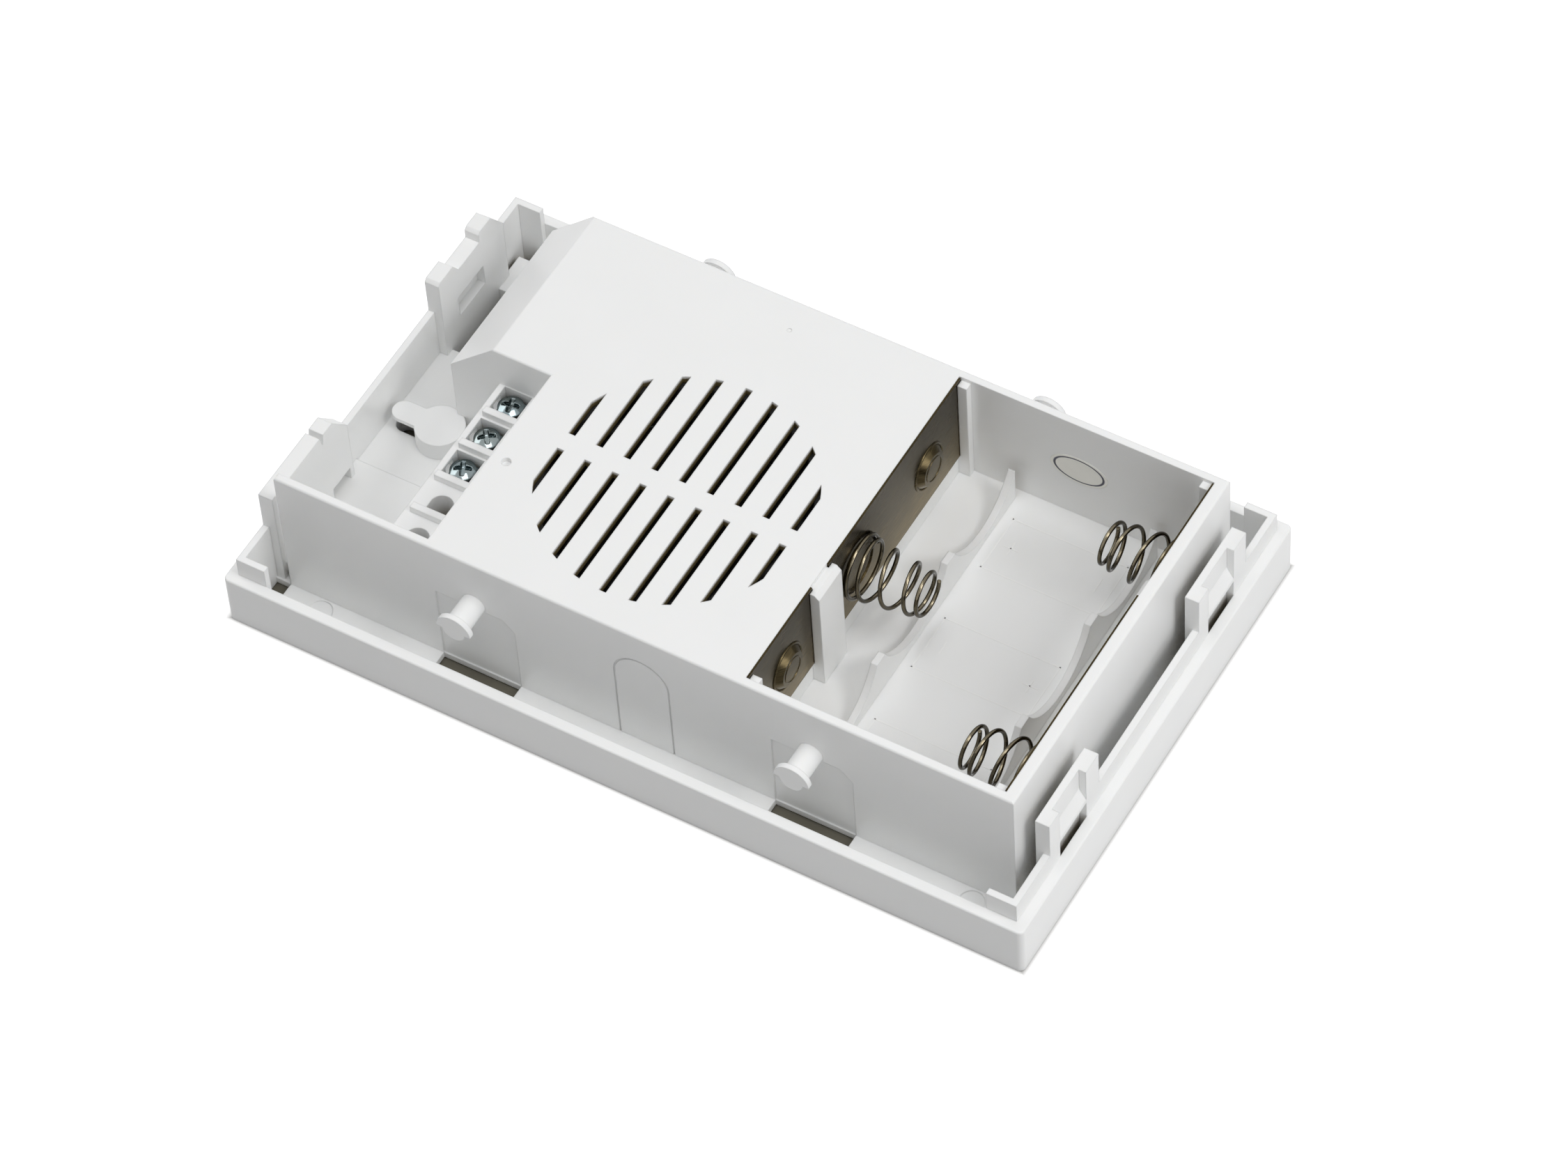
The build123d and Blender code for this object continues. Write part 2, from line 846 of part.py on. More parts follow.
# Pegs that the front cover snaps over, each with a half flange
with BuildPart() as pegs:
    for side in (-1, 1):
        peg_end = Plane.XZ.offset(-side * (box_y + peg_length))
        for peg_x in (-peg_spacing / 2, peg_spacing / 2):
            with BuildSketch(peg_end) as peg_section:
                with Locations((peg_x, peg_height)):
                    Circle(peg_radius)
            extrude(peg_section.sketch, amount=side * (peg_length + window_depth))
            with BuildSketch(peg_end) as flange_section:
                with Locations((peg_x, peg_height)):
                    Circle(peg_flange_radius)
                    Rectangle(
                        2 * peg_flange_radius,
                        peg_flange_radius,
                        align=(Align.CENTER, Align.MAX),
                        mode=Mode.SUBTRACT,
                    )
            extrude(flange_section.sketch, amount=side * peg_flange)

# Saddle ribs that carry the cells
with BuildPart() as saddles:
    for rib_x in saddle_x:
        with BuildSketch(Plane.YZ.offset(rib_x - saddle_thickness / 2)):
            Rectangle(
                2 * (box_inner_y - saddle_end_gap),
                saddle_height,
                align=(Align.CENTER, Align.MIN),
            )
            Rectangle(
                2 * box_inner_y,
                bay_floor - saddle_root,
                align=(Align.CENTER, Align.MIN),
                mode=Mode.SUBTRACT,
            )
            with Locations((0, contact_height)):
                with GridLocations(cell_pitch, 0, 3, 1):
                    Circle(cell_radius + cell_clearance, mode=Mode.SUBTRACT)
        extrude(amount=saddle_thickness)

# Keepers that hold the contact plates against the two end walls of the bay
with BuildPart() as keepers:
    for side, wall, drop in zip((1, -1), (bay_left, bay_right), keeper_top_drops):
        front = wall + side * keeper_front
        outer = front + side * keeper_thickness
        middle = -side * keeper_y
        top = height - drop
        rise = (bay_floor - saddle_root, top)
        ledge = (bay_floor - saddle_root, plate_bottom)
        flange_span = (middle - keeper_flange / 2, middle + keeper_flange / 2)
        block(span(front, outer), flange_span, rise)
        block(span(wall - side * saddle_root, outer), flange_span, ledge)
        block(
            span(wall - side * saddle_root, outer),
            (middle - keeper_web / 2, middle + keeper_web / 2),
            rise,
        )
        outline(
            (
                (outer, top - keeper_chamfer),
                (outer, top + keeper_chamfer),
                (outer - side * 2 * keeper_chamfer, top + keeper_chamfer),
            ),
            Plane.XZ.offset(-middle - keeper_flange / 2 - overrun),
            keeper_flange + 2 * overrun,
            Mode.SUBTRACT,
        )
        for end in (-1, 1):
            corner = span(end * (box_inner_y + saddle_root), end * (box_inner_y - corner_keeper))
            block(span(front, outer), corner, (rise[0], height - keeper_top_drops[0]))
            block(span(wall - side * saddle_root, outer), corner, ledge)

# Base moulding: everything white in one piece, open to the room for the cells and wires
with BuildPart() as base_moulding:
    add(rim.part)
    add(floor_holes.part, mode=Mode.SUBTRACT)
    add([wiring_bay.part, latch_hooks.part, box_body.part])
    add(
        [
            hollows.part,
            grille_slots.part,
            strip_holes.part,
            keyhole.part,
            wall_recesses.part,
            small_openings.part,
        ],
        mode=Mode.SUBTRACT,
    )
    add(
        [
            keyhole_boss.part,
            speaker_seat.part,
            bosses.part,
            strip_ribs.part,
            brackets.part,
            pegs.part,
            saddles.part,
            keepers.part,
        ]
    )
    add(pilot_holes.part, mode=Mode.SUBTRACT)

def cover_outline(margin):
    """Corners of the electronics bay's opening, drawn in by a margin."""
    back_left = slant_cavity_left + margin
    front_left = strip_cavity_left + margin
    right = partition_left - margin
    return (
        (back_left, strip_back + side_wall + margin),
        (front_left, strip_back + side_wall + margin),
        (front_left, -box_inner_y + margin),
        (right, -box_inner_y + margin),
        (right, box_inner_y - margin),
        (back_left, box_inner_y - margin),
    )


def cross_recess(place, low, high, arm, blade):
    """A cross-shaped driver recess cut between two heights."""
    block(
        (place[0] - arm / 2, place[0] + arm / 2),
        (place[1] - blade / 2, place[1] + blade / 2),
        (low, high),
        Mode.SUBTRACT,
    )
    block(
        (place[0] - blade / 2, place[0] + blade / 2),
        (place[1] - arm / 2, place[1] + arm / 2),
        (low, high),
        Mode.SUBTRACT,
    )


def head_cone(place, low, wide, narrow, depth, mode=Mode.ADD):
    """The cone of a countersunk head, widest at its lower face."""
    with Locations((place[0], place[1], low)):
        Cone(wide, narrow, depth, align=(Align.CENTER, Align.CENTER, Align.MIN), mode=mode)


# Rear cover: an L-shaped plate that closes the electronics bay, with a rib inside its edge
with BuildPart() as rear_cover:
    outline(cover_outline(cover_gap), Plane.XY, cover_thickness)
    outline(
        cover_outline(cover_rib_margin),
        Plane.XY.offset(cover_thickness),
        cover_rib_height,
    )
    outline(
        cover_outline(cover_rib_margin + cover_rib),
        Plane.XY.offset(cover_thickness),
        cover_rib_height,
        Mode.SUBTRACT,
    )
    for place in cover_screw_places:
        post(place, cover_hole_radius, -overrun, cover_thickness + overrun, Mode.SUBTRACT)
        head_cone(
            place,
            0,
            cover_screw_head + running_gap,
            cover_screw_shank + running_gap,
            cover_head_depth + running_gap,
            Mode.SUBTRACT,
        )

# Four countersunk screws that hold the rear cover, heads flush with the back
with BuildPart() as rear_cover_screws:
    for place in cover_screw_places:
        post(place, cover_screw_shank, 0, cover_screw_length)
        head_cone(place, 0, cover_screw_head, cover_screw_shank, cover_head_depth)
        cross_recess(place, 0, cover_cross_depth, cover_cross_length, cross_width)


def contact_plate(side, wall, ends, button_y, seat_y=None, tag_y=None):
    """A sheet metal plate on a bay end wall, side pointing from the wall into the bay."""
    face = wall + side * plate_thickness
    crown = face + side * dimple_height
    with BuildPart() as plate:
        block(span(wall, face), ends, (plate_bottom, height - plate_top_drop))
        if button_y is not None:
            with BuildSketch(Plane.YZ.offset(face)) as foot:
                with Locations((button_y, contact_height)):
                    Circle(dimple_radius)
            with BuildSketch(Plane.YZ.offset(crown)) as top:
                with Locations((button_y, contact_height)):
                    Circle(dimple_crown_radius)
            loft([foot.sketch, top.sketch])
        if seat_y is not None:
            with BuildSketch(Plane.YZ.offset(face)) as seat:
                with Locations((seat_y, contact_height)):
                    Circle(spring_base_radius - wire_diameter)
                    Circle(
                        spring_base_radius - wire_diameter - seat_ring_width,
                        mode=Mode.SUBTRACT,
                    )
            extrude(seat.sketch, amount=side * seat_ring_height)
        if tag_y is not None:
            block(
                span(wall - side * tag_length, wall),
                (tag_y - tag_width / 2, tag_y + tag_width / 2),
                (plate_bottom, plate_bottom + plate_thickness),
            )
    return plate.part


# Two plates on the partition and two on the end wall put the three cells in series
plate_edge = box_inner_y - plate_end_gap
keeper_edge = keeper_web / 2 + plate_end_gap
contact_plate_left_long = contact_plate(
    1, bay_left, (-keeper_y + keeper_edge, plate_edge), cell_pitch, seat_y=0
)
contact_plate_left_front = contact_plate(
    1, bay_left, (-plate_edge, -keeper_y - keeper_edge), -cell_pitch, tag_y=-cell_pitch
)
contact_plate_right_long = contact_plate(
    -1, bay_right, (-plate_edge, keeper_y - keeper_edge), 0, seat_y=-cell_pitch
)
contact_plate_right_rear = contact_plate(
    -1, bay_right, (keeper_y + keeper_edge, plate_edge), None, seat_y=cell_pitch
)


def spring_point(share, seat_x, side, axis_y):
    """Centre of the wire at a share of the spring's turns, closed up towards both ends."""
    angle = 2 * pi * spring_turns * share
    radius = spring_base_radius + (spring_tip_radius - spring_base_radius) * share
    climb = spring_length - wire_diameter
    along = climb * (share - spring_bite_share * sin(2 * pi * share) / (2 * pi))
    return Vector(
        seat_x + side * (along + wire_diameter / 2 + spring_seat_gap),
        axis_y + radius * cos(angle),
        contact_height + radius * sin(angle),
    )


def spring_heading(share, seat_x, side, axis_y):
    """Unit direction of the wire at a share of the spring's turns."""
    angle = 2 * pi * spring_turns * share
    radius = spring_base_radius + (spring_tip_radius - spring_base_radius) * share
    turning = 2 * pi * spring_turns
    shrink = spring_tip_radius - spring_base_radius
    climb = spring_length - wire_diameter
    return Vector(
        side * climb * (1 - spring_bite_share * cos(2 * pi * share)),
        shrink * cos(angle) - radius * turning * sin(angle),
        shrink * sin(angle) + radius * turning * cos(angle),
    ).normalized()


def battery_spring(seat_x, side, axis_y):
    """A conical spring of one unbroken wire, swept along pairs of tangent arcs."""
    quarters = spring_turns * spring_steps
    with BuildPart() as spring:
        with BuildLine() as path:
            for index in range(quarters):
                start = spring_point(index / quarters, seat_x, side, axis_y)
                end = spring_point((index + 1) / quarters, seat_x, side, axis_y)
                leaving = spring_heading(index / quarters, seat_x, side, axis_y)
                arriving = spring_heading((index + 1) / quarters, seat_x, side, axis_y)
                chord = end - start
                both = chord.dot(leaving + arriving)
                turn = 2 * (1 - leaving.dot(arriving))
                reach = (sqrt(both**2 + turn * chord.dot(chord)) - both) / turn
                first = start + leaving * reach
                second = end - arriving * reach
                middle = (first + second) * (1 / 2)
                TangentArc(start, middle, tangent=leaving)
                TangentArc(middle, end, tangent=second - first)
        heading = spring_heading(0, seat_x, side, axis_y)
        with BuildSketch(Plane(origin=path.line @ 0, z_dir=heading)):
            Circle(wire_diameter / 2)
        sweep(path=path.line)
    return spring.part


spring_left_middle = battery_spring(bay_left + plate_thickness, 1, 0)
spring_right_rear = battery_spring(bay_right - plate_thickness, -1, cell_pitch)
spring_right_front = battery_spring(bay_right - plate_thickness, -1, -cell_pitch)


# Terminal posts: square blocks on the board, threaded from above, with a pin through it
with BuildPart() as terminal_posts:
    for place in pole_places[:fitted_count]:
        block(
            (pole_x - post_size / 2, pole_x + post_size / 2),
            (place - post_size / 2, place + post_size / 2),
            (board_top, post_top),
        )
        post(
            (pole_x, place),
            thread_radius + running_gap,
            post_top - screw_length - running_gap,
            post_top + overrun,
            Mode.SUBTRACT,
        )


def clamp_plate(place):
    """The square washer that a terminal screw carries up and down."""
    with BuildPart() as plate:
        block(
            (pole_x - post_size / 2, pole_x + post_size / 2),
            (place - post_size / 2, place + post_size / 2),
            (post_top + clamp_gap, post_top + clamp_gap + clamp_thickness),
        )
        post(
            (pole_x, place),
            thread_radius + running_gap,
            post_top - overrun,
            post_top + clamp_thickness + overrun,
            Mode.SUBTRACT,
        )
    return plate.part


def terminal_screw(place):
    """A pan head M3 screw with a cross recess, standing in its post."""
    seat = post_top + clamp_thickness + 2 * clamp_gap
    crown = seat + screw_head_height
    with BuildPart() as screw:
        post((pole_x, place), screw_head_radius, seat, crown)
        fillet(screw.edges().group_by(Axis.Z)[-1], radius=screw_head_edge)
        post((pole_x, place), thread_radius, post_top - screw_length, seat)
        cross_recess((pole_x, place), crown - cross_depth, crown, cross_length, cross_width)
    return screw.part


clamp_plates = [clamp_plate(place) for place in pole_places[:fitted_count]]
terminal_screws = [terminal_screw(place) for place in pole_places[:fitted_count]]

# Circuit board, screwed to its bosses from behind
with BuildPart() as circuit_board:
    block(
        (board_left, board_right),
        (board_front, board_back),
        (board_top - board_thickness, board_top),
    )
    for place in board_screw_places:
        post(place, pilot_radius + running_gap, 0, board_top + overrun, Mode.SUBTRACT)


def small_screw(place, seat, long):
    """A pan head self-tapping screw driven upwards from a seat."""
    with BuildPart() as screw:
        post(place, small_screw_head_radius, seat - small_screw_head_height, seat)
        fillet(screw.edges().group_by(Axis.Z)[0], radius=small_screw_head_edge)
        post(place, cover_screw_shank, seat, seat + long)
        cross_recess(
            place,
            seat - small_screw_head_height,
            seat - small_screw_head_height + cover_cross_depth,
            cover_cross_length,
            cross_width,
        )
    return screw.part


board_screws = Compound(
    children=[
        small_screw(place, board_top - board_thickness, board_screw_length)
        for place in board_screw_places
    ]
)

# Bonded melody chip under a drop of black resin
chip_ball = (chip_radius**2 + chip_rise**2) / (2 * chip_rise)
with BuildPart() as melody_chip:
    with Locations((chip_place[0], chip_place[1], board_top + chip_rise - chip_ball)):
        Sphere(chip_ball)
    block(
        (chip_place[0] - 2 * chip_ball, chip_place[0] + 2 * chip_ball),
        (chip_place[1] - 2 * chip_ball, chip_place[1] + 2 * chip_ball),
        (board_top - 2 * chip_ball, board_top),
        Mode.SUBTRACT,
    )


def can_capacitor(place, radius, tall):
    """An upright electrolytic can with a crimp groove near its foot."""
    with BuildPart() as can:
        post(place, radius, board_top, board_top + tall)
        fillet(can.edges().group_by(Axis.Z)[-1], radius=supply_capacitor_groove)
        with Locations((place[0], place[1], board_top + radius / 2)):
            Torus(radius + supply_capacitor_groove, 2 * supply_capacitor_groove, mode=Mode.SUBTRACT)
    return can.part


supply_capacitor = can_capacitor(
    supply_capacitor_place, supply_capacitor_radius, supply_capacitor_height
)
output_capacitor = can_capacitor(
    output_capacitor_place, output_capacitor_radius, output_capacitor_height
)

# Two drive transistors: moulded half-round bodies on three legs
with BuildPart() as drive_transistors:
    for place in transistor_places:
        low = board_top + transistor_standoff
        post(place, transistor_radius, low, low + transistor_height)
        block(
            (place[0] - transistor_radius - overrun, place[0] - transistor_flat),
            (place[1] - transistor_radius, place[1] + transistor_radius),
            (low, low + transistor_height),
            Mode.SUBTRACT,
        )
        for leg in (-1, 0, 1):
            post((place[0], place[1] + leg * lead_spread), lead_radius, board_top, low)

# Resistors lying on the board, each on its two bent leads
with BuildPart() as resistors:
    for place in resistor_places:
        middle = board_top + resistor_radius
        for radius, long in ((resistor_radius, resistor_length), (lead_radius, resistor_lead)):
            with Locations(Location((place[0], place[1], middle), (0, 90, 0))):
                Cylinder(radius, long)
        for end in (-1, 1):
            foot = (place[0] + end * (resistor_lead / 2 - lead_radius), place[1])
            post(foot, lead_radius, board_top, middle)

# Two ceramic disc capacitors
with BuildPart() as disc_capacitors:
    for place in disc_places:
        middle = board_top + disc_standoff + disc_radius
        with Locations(Location((place[0], place[1], middle), (90, 0, 0))):
            Cylinder(disc_radius, disc_thickness)
        for leg in (-1, 1):
            post((place[0] + leg * lead_spread, place[1]), lead_radius, board_top, middle)


def turned(points):
    """A ring turned about the speaker's axis from its section in radius and height."""
    with BuildPart() as ring:
        with BuildSketch(Plane.XZ):
            with BuildLine():
                Polyline(*points, close=True)
            make_face()
        revolve(axis=Axis.Z)
    return ring.part.locate(Location((grille_x, grille_y, 0)))


def speaker_ring(inner, outer, low, high):
    """A flat ring on the speaker's axis."""
    return turned(((inner, low), (outer, low), (outer, high), (inner, high)))


# Speaker, facing the grille, from its gasket down to the magnet's yoke
basket_step = speaker_top - basket_step_drop
basket_floor = speaker_top - basket_floor_drop
basket_base = basket_floor - flange_thickness
landing_top = speaker_top + landing_thickness
speaker_gasket = speaker_ring(
    speaker_radius - gasket_width, speaker_radius, landing_top, deck_under
)
speaker_basket_blank = turned(
    (
        (basket_floor_inner, basket_base),
        (basket_floor_outer + flange_thickness, basket_base),
        (basket_step_inner + flange_thickness, basket_step - flange_thickness),
        (basket_step_outer + flange_thickness, basket_step - flange_thickness),
        (basket_mouth + flange_thickness, speaker_top - flange_thickness),
        (speaker_radius, speaker_top - flange_thickness),
        (speaker_radius, speaker_top),
        (basket_mouth, speaker_top),
        (basket_step_outer, basket_step),
        (basket_step_inner, basket_step),
        (basket_floor_outer, basket_floor),
        (basket_floor_inner, basket_floor),
    )
)
with BuildPart() as speaker_basket:
    add(speaker_basket_blank)
    with BuildSketch(Plane.XY.offset(basket_base)):
        with Locations((grille_x, grille_y)):
            Circle(basket_window_outer)
            Circle(basket_window_inner, mode=Mode.SUBTRACT)
            with PolarLocations(0, basket_spokes, start_angle=45):
                Rectangle(
                    speaker_radius,
                    basket_spoke,
                    align=(Align.MIN, Align.CENTER),
                    mode=Mode.SUBTRACT,
                )
    extrude(amount=speaker_top - basket_base, mode=Mode.SUBTRACT)

pole_plate_low = basket_base - pole_plate_thickness
magnet_low = pole_plate_low - magnet_height
speaker_pole_plate = speaker_ring(
    pole_plate_bore, pole_plate_radius, pole_plate_low, basket_base
)
speaker_magnet = speaker_ring(magnet_bore, magnet_radius, magnet_low, pole_plate_low)
speaker_yoke = turned(
    (
        (0, magnet_low - yoke_thickness),
        (pole_plate_radius, magnet_low - yoke_thickness),
        (pole_plate_radius, magnet_low),
        (pole_radius, magnet_low),
        (pole_radius, basket_base),
        (0, basket_base),
    )
)

# Moving parts of the speaker: coil, former, cone and dust cap
former_top = speaker_top - former_drop
former_low = former_top - former_height
voice_coil_former = speaker_ring(former_inner, former_outer, former_low, former_top)
voice_coil_winding = speaker_ring(
    former_outer, winding_outer, former_low, former_low + winding_height
)
cone_neck_low = speaker_top - cone_neck_drop
cone_neck_high = cone_neck_low + cone_thickness
speaker_cone = turned(
    (
        (former_outer, cone_neck_low),
        (cone_neck, cone_neck_low),
        (cone_flat_edge, speaker_top - cone_thickness),
        (cone_edge, speaker_top - cone_thickness),
        (cone_edge, speaker_top),
        (cone_flat_edge, speaker_top),
        (cone_neck, cone_neck_high),
        (former_outer, cone_neck_high),
    )
)
cone_slope = (speaker_top - cone_neck_high) / (cone_flat_edge - cone_neck)
cap_foot_low = cone_neck_high + cone_slope * (dust_cap_radius - cone_neck)
cap_foot_high = cap_foot_low + cone_slope * dust_cap_foot
with BuildPart() as dust_cap_blank:
    with BuildSketch(Plane.XZ):
        with BuildLine():
            Polyline(
                (dust_cap_radius, cap_foot_low),
                (dust_cap_radius + dust_cap_foot, cap_foot_high),
                (dust_cap_radius + dust_cap_foot, cap_foot_high + dust_cap_thickness),
            )
            Spline(
                (dust_cap_radius + dust_cap_foot, cap_foot_high + dust_cap_thickness),
                (0, cap_foot_low + dust_cap_rise + dust_cap_thickness),
                tangents=((-1, cone_slope), (-1, 0)),
            )
            Line(
                (0, cap_foot_low + dust_cap_rise + dust_cap_thickness),
                (0, cap_foot_low + dust_cap_rise),
            )
            Spline(
                (0, cap_foot_low + dust_cap_rise),
                (dust_cap_radius, cap_foot_low),
                tangents=((1, 0), (1, -cone_slope)),
            )
        make_face()
    revolve(axis=Axis.Z)
speaker_dust_cap = dust_cap_blank.part.locate(Location((grille_x, grille_y, 0)))

# Rubber surround glued on the cone's edge and the basket's flange, with one round roll
roll_middle = (cone_edge + basket_mouth) / 2
with BuildPart() as surround_blank:
    with BuildSketch(Plane.XZ):
        with BuildLine():
            Line((cone_flat_edge, landing_top), (cone_flat_edge, speaker_top))
            Line((cone_flat_edge, speaker_top), (cone_edge, speaker_top))
            ThreePointArc(
                (cone_edge, speaker_top),
                (roll_middle, speaker_top + surround_roll),
                (basket_mouth, speaker_top),
            )
            Line((basket_mouth, speaker_top), (speaker_radius, speaker_top))
            Line((speaker_radius, speaker_top), (speaker_radius, landing_top))
            Line((speaker_radius, landing_top), (basket_mouth, landing_top))
            ThreePointArc(
                (basket_mouth, landing_top),
                (roll_middle, landing_top + surround_roll),
                (cone_edge, landing_top),
            )
            Line((cone_edge, landing_top), (cone_flat_edge, landing_top))
        make_face()
    revolve(axis=Axis.Z)
speaker_surround = surround_blank.part.locate(Location((grille_x, grille_y, 0)))

# Spider: a corrugated cloth disc from the former to the step in the basket
spider_inner = former_outer + spider_gap
wave_step = (basket_step_inner - spider_inner) / (spider_waves + 1)
wave_points = [(spider_inner, basket_step)]
for wave in range(1, spider_waves + 1):
    crest = spider_wave_height if wave % 2 else -spider_wave_height
    wave_points.append((spider_inner + wave * wave_step, basket_step + crest))
wave_points += [(basket_step_inner, basket_step), (basket_step_outer, basket_step)]
speaker_spider = turned(
    wave_points + [(radius, high + spider_thickness) for radius, high in reversed(wave_points)]
)

# Board with two solder lugs under the basket's step
with BuildPart() as speaker_lug_board:
    block(
        (grille_x - lug_board_start - lug_board_length, grille_x - lug_board_start),
        (grille_y - lug_board_width / 2, grille_y + lug_board_width / 2),
        (basket_step - flange_thickness - lug_board_thickness, basket_step - flange_thickness),
    )
with BuildPart() as speaker_lugs:
    for side in (-1, 1):
        lug_y = grille_y + side * lug_spacing / 2
        lug_low = basket_step - flange_thickness
        block(
            (grille_x - lug_start - lug_length, grille_x - lug_start),
            (lug_y - lug_width / 2, lug_y + lug_width / 2),
            (lug_low, lug_low + lug_thickness),
        )
        post(
            (grille_x - lug_start - lug_length + lug_hole_inset, lug_y),
            lug_hole,
            lug_low,
            lug_low + lug_thickness,
            Mode.SUBTRACT,
        )

# Three washers and screws that clamp the speaker's flange against its seat
clamp_seat = speaker_top - flange_thickness - clamp_washer_thickness
with BuildPart() as speaker_clamp_washers:
    for place in clamp_places:
        post(place, clamp_washer_radius, clamp_seat, clamp_seat + clamp_washer_thickness)
        post(
            place,
            pilot_radius + running_gap,
            clamp_seat,
            clamp_seat + clamp_washer_thickness,
            Mode.SUBTRACT,
        )
speaker_clamp_screws = Compound(
    children=[small_screw(place, clamp_seat, clamp_screw_length) for place in clamp_places]
)

# Small oval sticker on the bay's back wall
with BuildPart() as inspection_label:
    with BuildSketch(Plane.XZ.offset(-box_inner_y)):
        with Locations((label_x, label_z)):
            Ellipse(label_width / 2, label_height / 2)
    extrude(amount=label_thickness)

# Every piece is written under its own name
pieces = {
    "base_moulding": base_moulding.part,
    "rear_cover": rear_cover.part,
    "rear_cover_screws": rear_cover_screws.part,
    "contact_plate_left_long": contact_plate_left_long,
    "contact_plate_left_front": contact_plate_left_front,
    "contact_plate_right_long": contact_plate_right_long,
    "contact_plate_right_rear": contact_plate_right_rear,
    "spring_left_middle": spring_left_middle,
    "spring_right_rear": spring_right_rear,
    "spring_right_front": spring_right_front,
    "terminal_posts": terminal_posts.part,
    "circuit_board": circuit_board.part,
    "board_screws": board_screws,
    "melody_chip": melody_chip.part,
    "supply_capacitor": supply_capacitor,
    "output_capacitor": output_capacitor,
    "drive_transistors": drive_transistors.part,
    "resistors": resistors.part,
    "disc_capacitors": disc_capacitors.part,
    "speaker_gasket": speaker_gasket,
    "speaker_basket": speaker_basket.part,
    "speaker_pole_plate": speaker_pole_plate,
    "speaker_magnet": speaker_magnet,
    "speaker_yoke": speaker_yoke,
    "voice_coil_former": voice_coil_former,
    "voice_coil_winding": voice_coil_winding,
    "speaker_cone": speaker_cone,
    "speaker_dust_cap": speaker_dust_cap,
    "speaker_surround": speaker_surround,
    "speaker_spider": speaker_spider,
    "speaker_lug_board": speaker_lug_board.part,
    "speaker_lugs": speaker_lugs.part,
    "speaker_clamp_washers": speaker_clamp_washers.part,
    "speaker_clamp_screws": speaker_clamp_screws,
    "inspection_label": inspection_label.part,
}
for number in range(fitted_count):
    pieces[f"clamp_plate_{number + 1}"] = clamp_plates[number]
    pieces[f"terminal_screw_{number + 1}"] = terminal_screws[number]

os.makedirs("parts", exist_ok=True)
for name, piece in pieces.items():
    piece.label = name
    export_step(piece, f"parts/{name}.step")
    print(name, len(piece.solids()), round(piece.volume, 1))

spring_points = [
    spring_point(index / spring_checks, 0, 1, 0) for index in range(spring_checks + 1)
]
turn_points = spring_checks // spring_turns
near_gaps = [
    (spring_points[first] - spring_points[second]).length - wire_diameter
    for first in range(0, spring_checks, 2)
    for second in range(first + turn_points // 2, spring_checks + 1)
]
print("least gap between turns of a spring", round(min(near_gaps), 2))
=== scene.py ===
# %% [markdown]
# # A doorbell chime box with its front cover off
# The white base of a battery chime lies on its back. We start from the imported model, which
# gives every rigid piece in its place, and dress it: finishes, springs, soft speaker pieces.

import math

import bmesh
import bpy
from mathutils import Matrix, Quaternion, Vector


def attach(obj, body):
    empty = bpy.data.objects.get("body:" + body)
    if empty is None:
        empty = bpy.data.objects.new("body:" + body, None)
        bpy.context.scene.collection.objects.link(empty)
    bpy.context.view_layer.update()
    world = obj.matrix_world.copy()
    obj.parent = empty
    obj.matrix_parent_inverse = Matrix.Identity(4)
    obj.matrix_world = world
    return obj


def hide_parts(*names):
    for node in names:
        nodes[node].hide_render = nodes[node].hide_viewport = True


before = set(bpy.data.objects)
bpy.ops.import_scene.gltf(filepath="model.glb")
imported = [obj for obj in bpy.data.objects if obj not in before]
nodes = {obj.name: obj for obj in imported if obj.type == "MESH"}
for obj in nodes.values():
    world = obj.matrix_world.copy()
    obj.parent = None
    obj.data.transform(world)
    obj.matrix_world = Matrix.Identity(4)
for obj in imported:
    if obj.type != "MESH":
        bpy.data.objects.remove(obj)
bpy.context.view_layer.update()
scene = bpy.context.scene
scene.view_settings.view_transform = "Standard"
MM = 0.001

# %% [markdown]
# ## Small tools for materials
# A finish is a Principled shader with a few noises behind it. Real mouldings and metals are
# never one flat colour: tone, gloss and surface height drift a little. One helper builds that
# drift, so each finish below only has to say how strong and how fine it is.

# %% Helpers for node materials
def new_finish(name):
    """An empty material with a Principled shader."""
    finish = bpy.data.materials.new(name)
    finish.use_nodes = True
    return finish, finish.node_tree, finish.node_tree.nodes["Principled BSDF"]


def add_node(tree, kind, **values):
    """A node of that kind, with its plain settings and its inputs filled in by name."""
    node = tree.nodes.new(kind)
    for key, value in values.items():
        if key in node.inputs:
            node.inputs[key].default_value = value
        else:
            setattr(node, key, value)
    return node


def place_noise(tree, scale, detail=3.0, stretch=(1, 1, 1)):
    """Noise over the object's own place, stretched along an axis for brush marks."""
    where = add_node(tree, "ShaderNodeTexCoord")
    turn = add_node(tree, "ShaderNodeMapping")
    turn.inputs["Scale"].default_value = stretch
    noise = add_node(tree, "ShaderNodeTexNoise", Scale=scale, Detail=detail)
    tree.links.new(where.outputs["Object"], turn.inputs["Vector"])
    tree.links.new(turn.outputs["Vector"], noise.inputs["Vector"])
    return noise


def ramp(tree, source, stops):
    """Colours along a value from 0 to 1."""
    node = add_node(tree, "ShaderNodeValToRGB")
    band = node.color_ramp
    while len(band.elements) < len(stops):
        band.elements.new(1.0)
    for element, (place, colour) in zip(band.elements, stops):
        element.position = place
        element.color = (*colour, 1.0)
    tree.links.new(source, node.inputs["Fac"])
    return node.outputs["Color"]


def value_range(tree, source, low, high):
    """A value from 0 to 1 moved to run from low to high."""
    node = add_node(tree, "ShaderNodeMapRange")
    node.inputs["To Min"].default_value = low
    node.inputs["To Max"].default_value = high
    tree.links.new(source, node.inputs["Value"])
    return node.outputs["Result"]


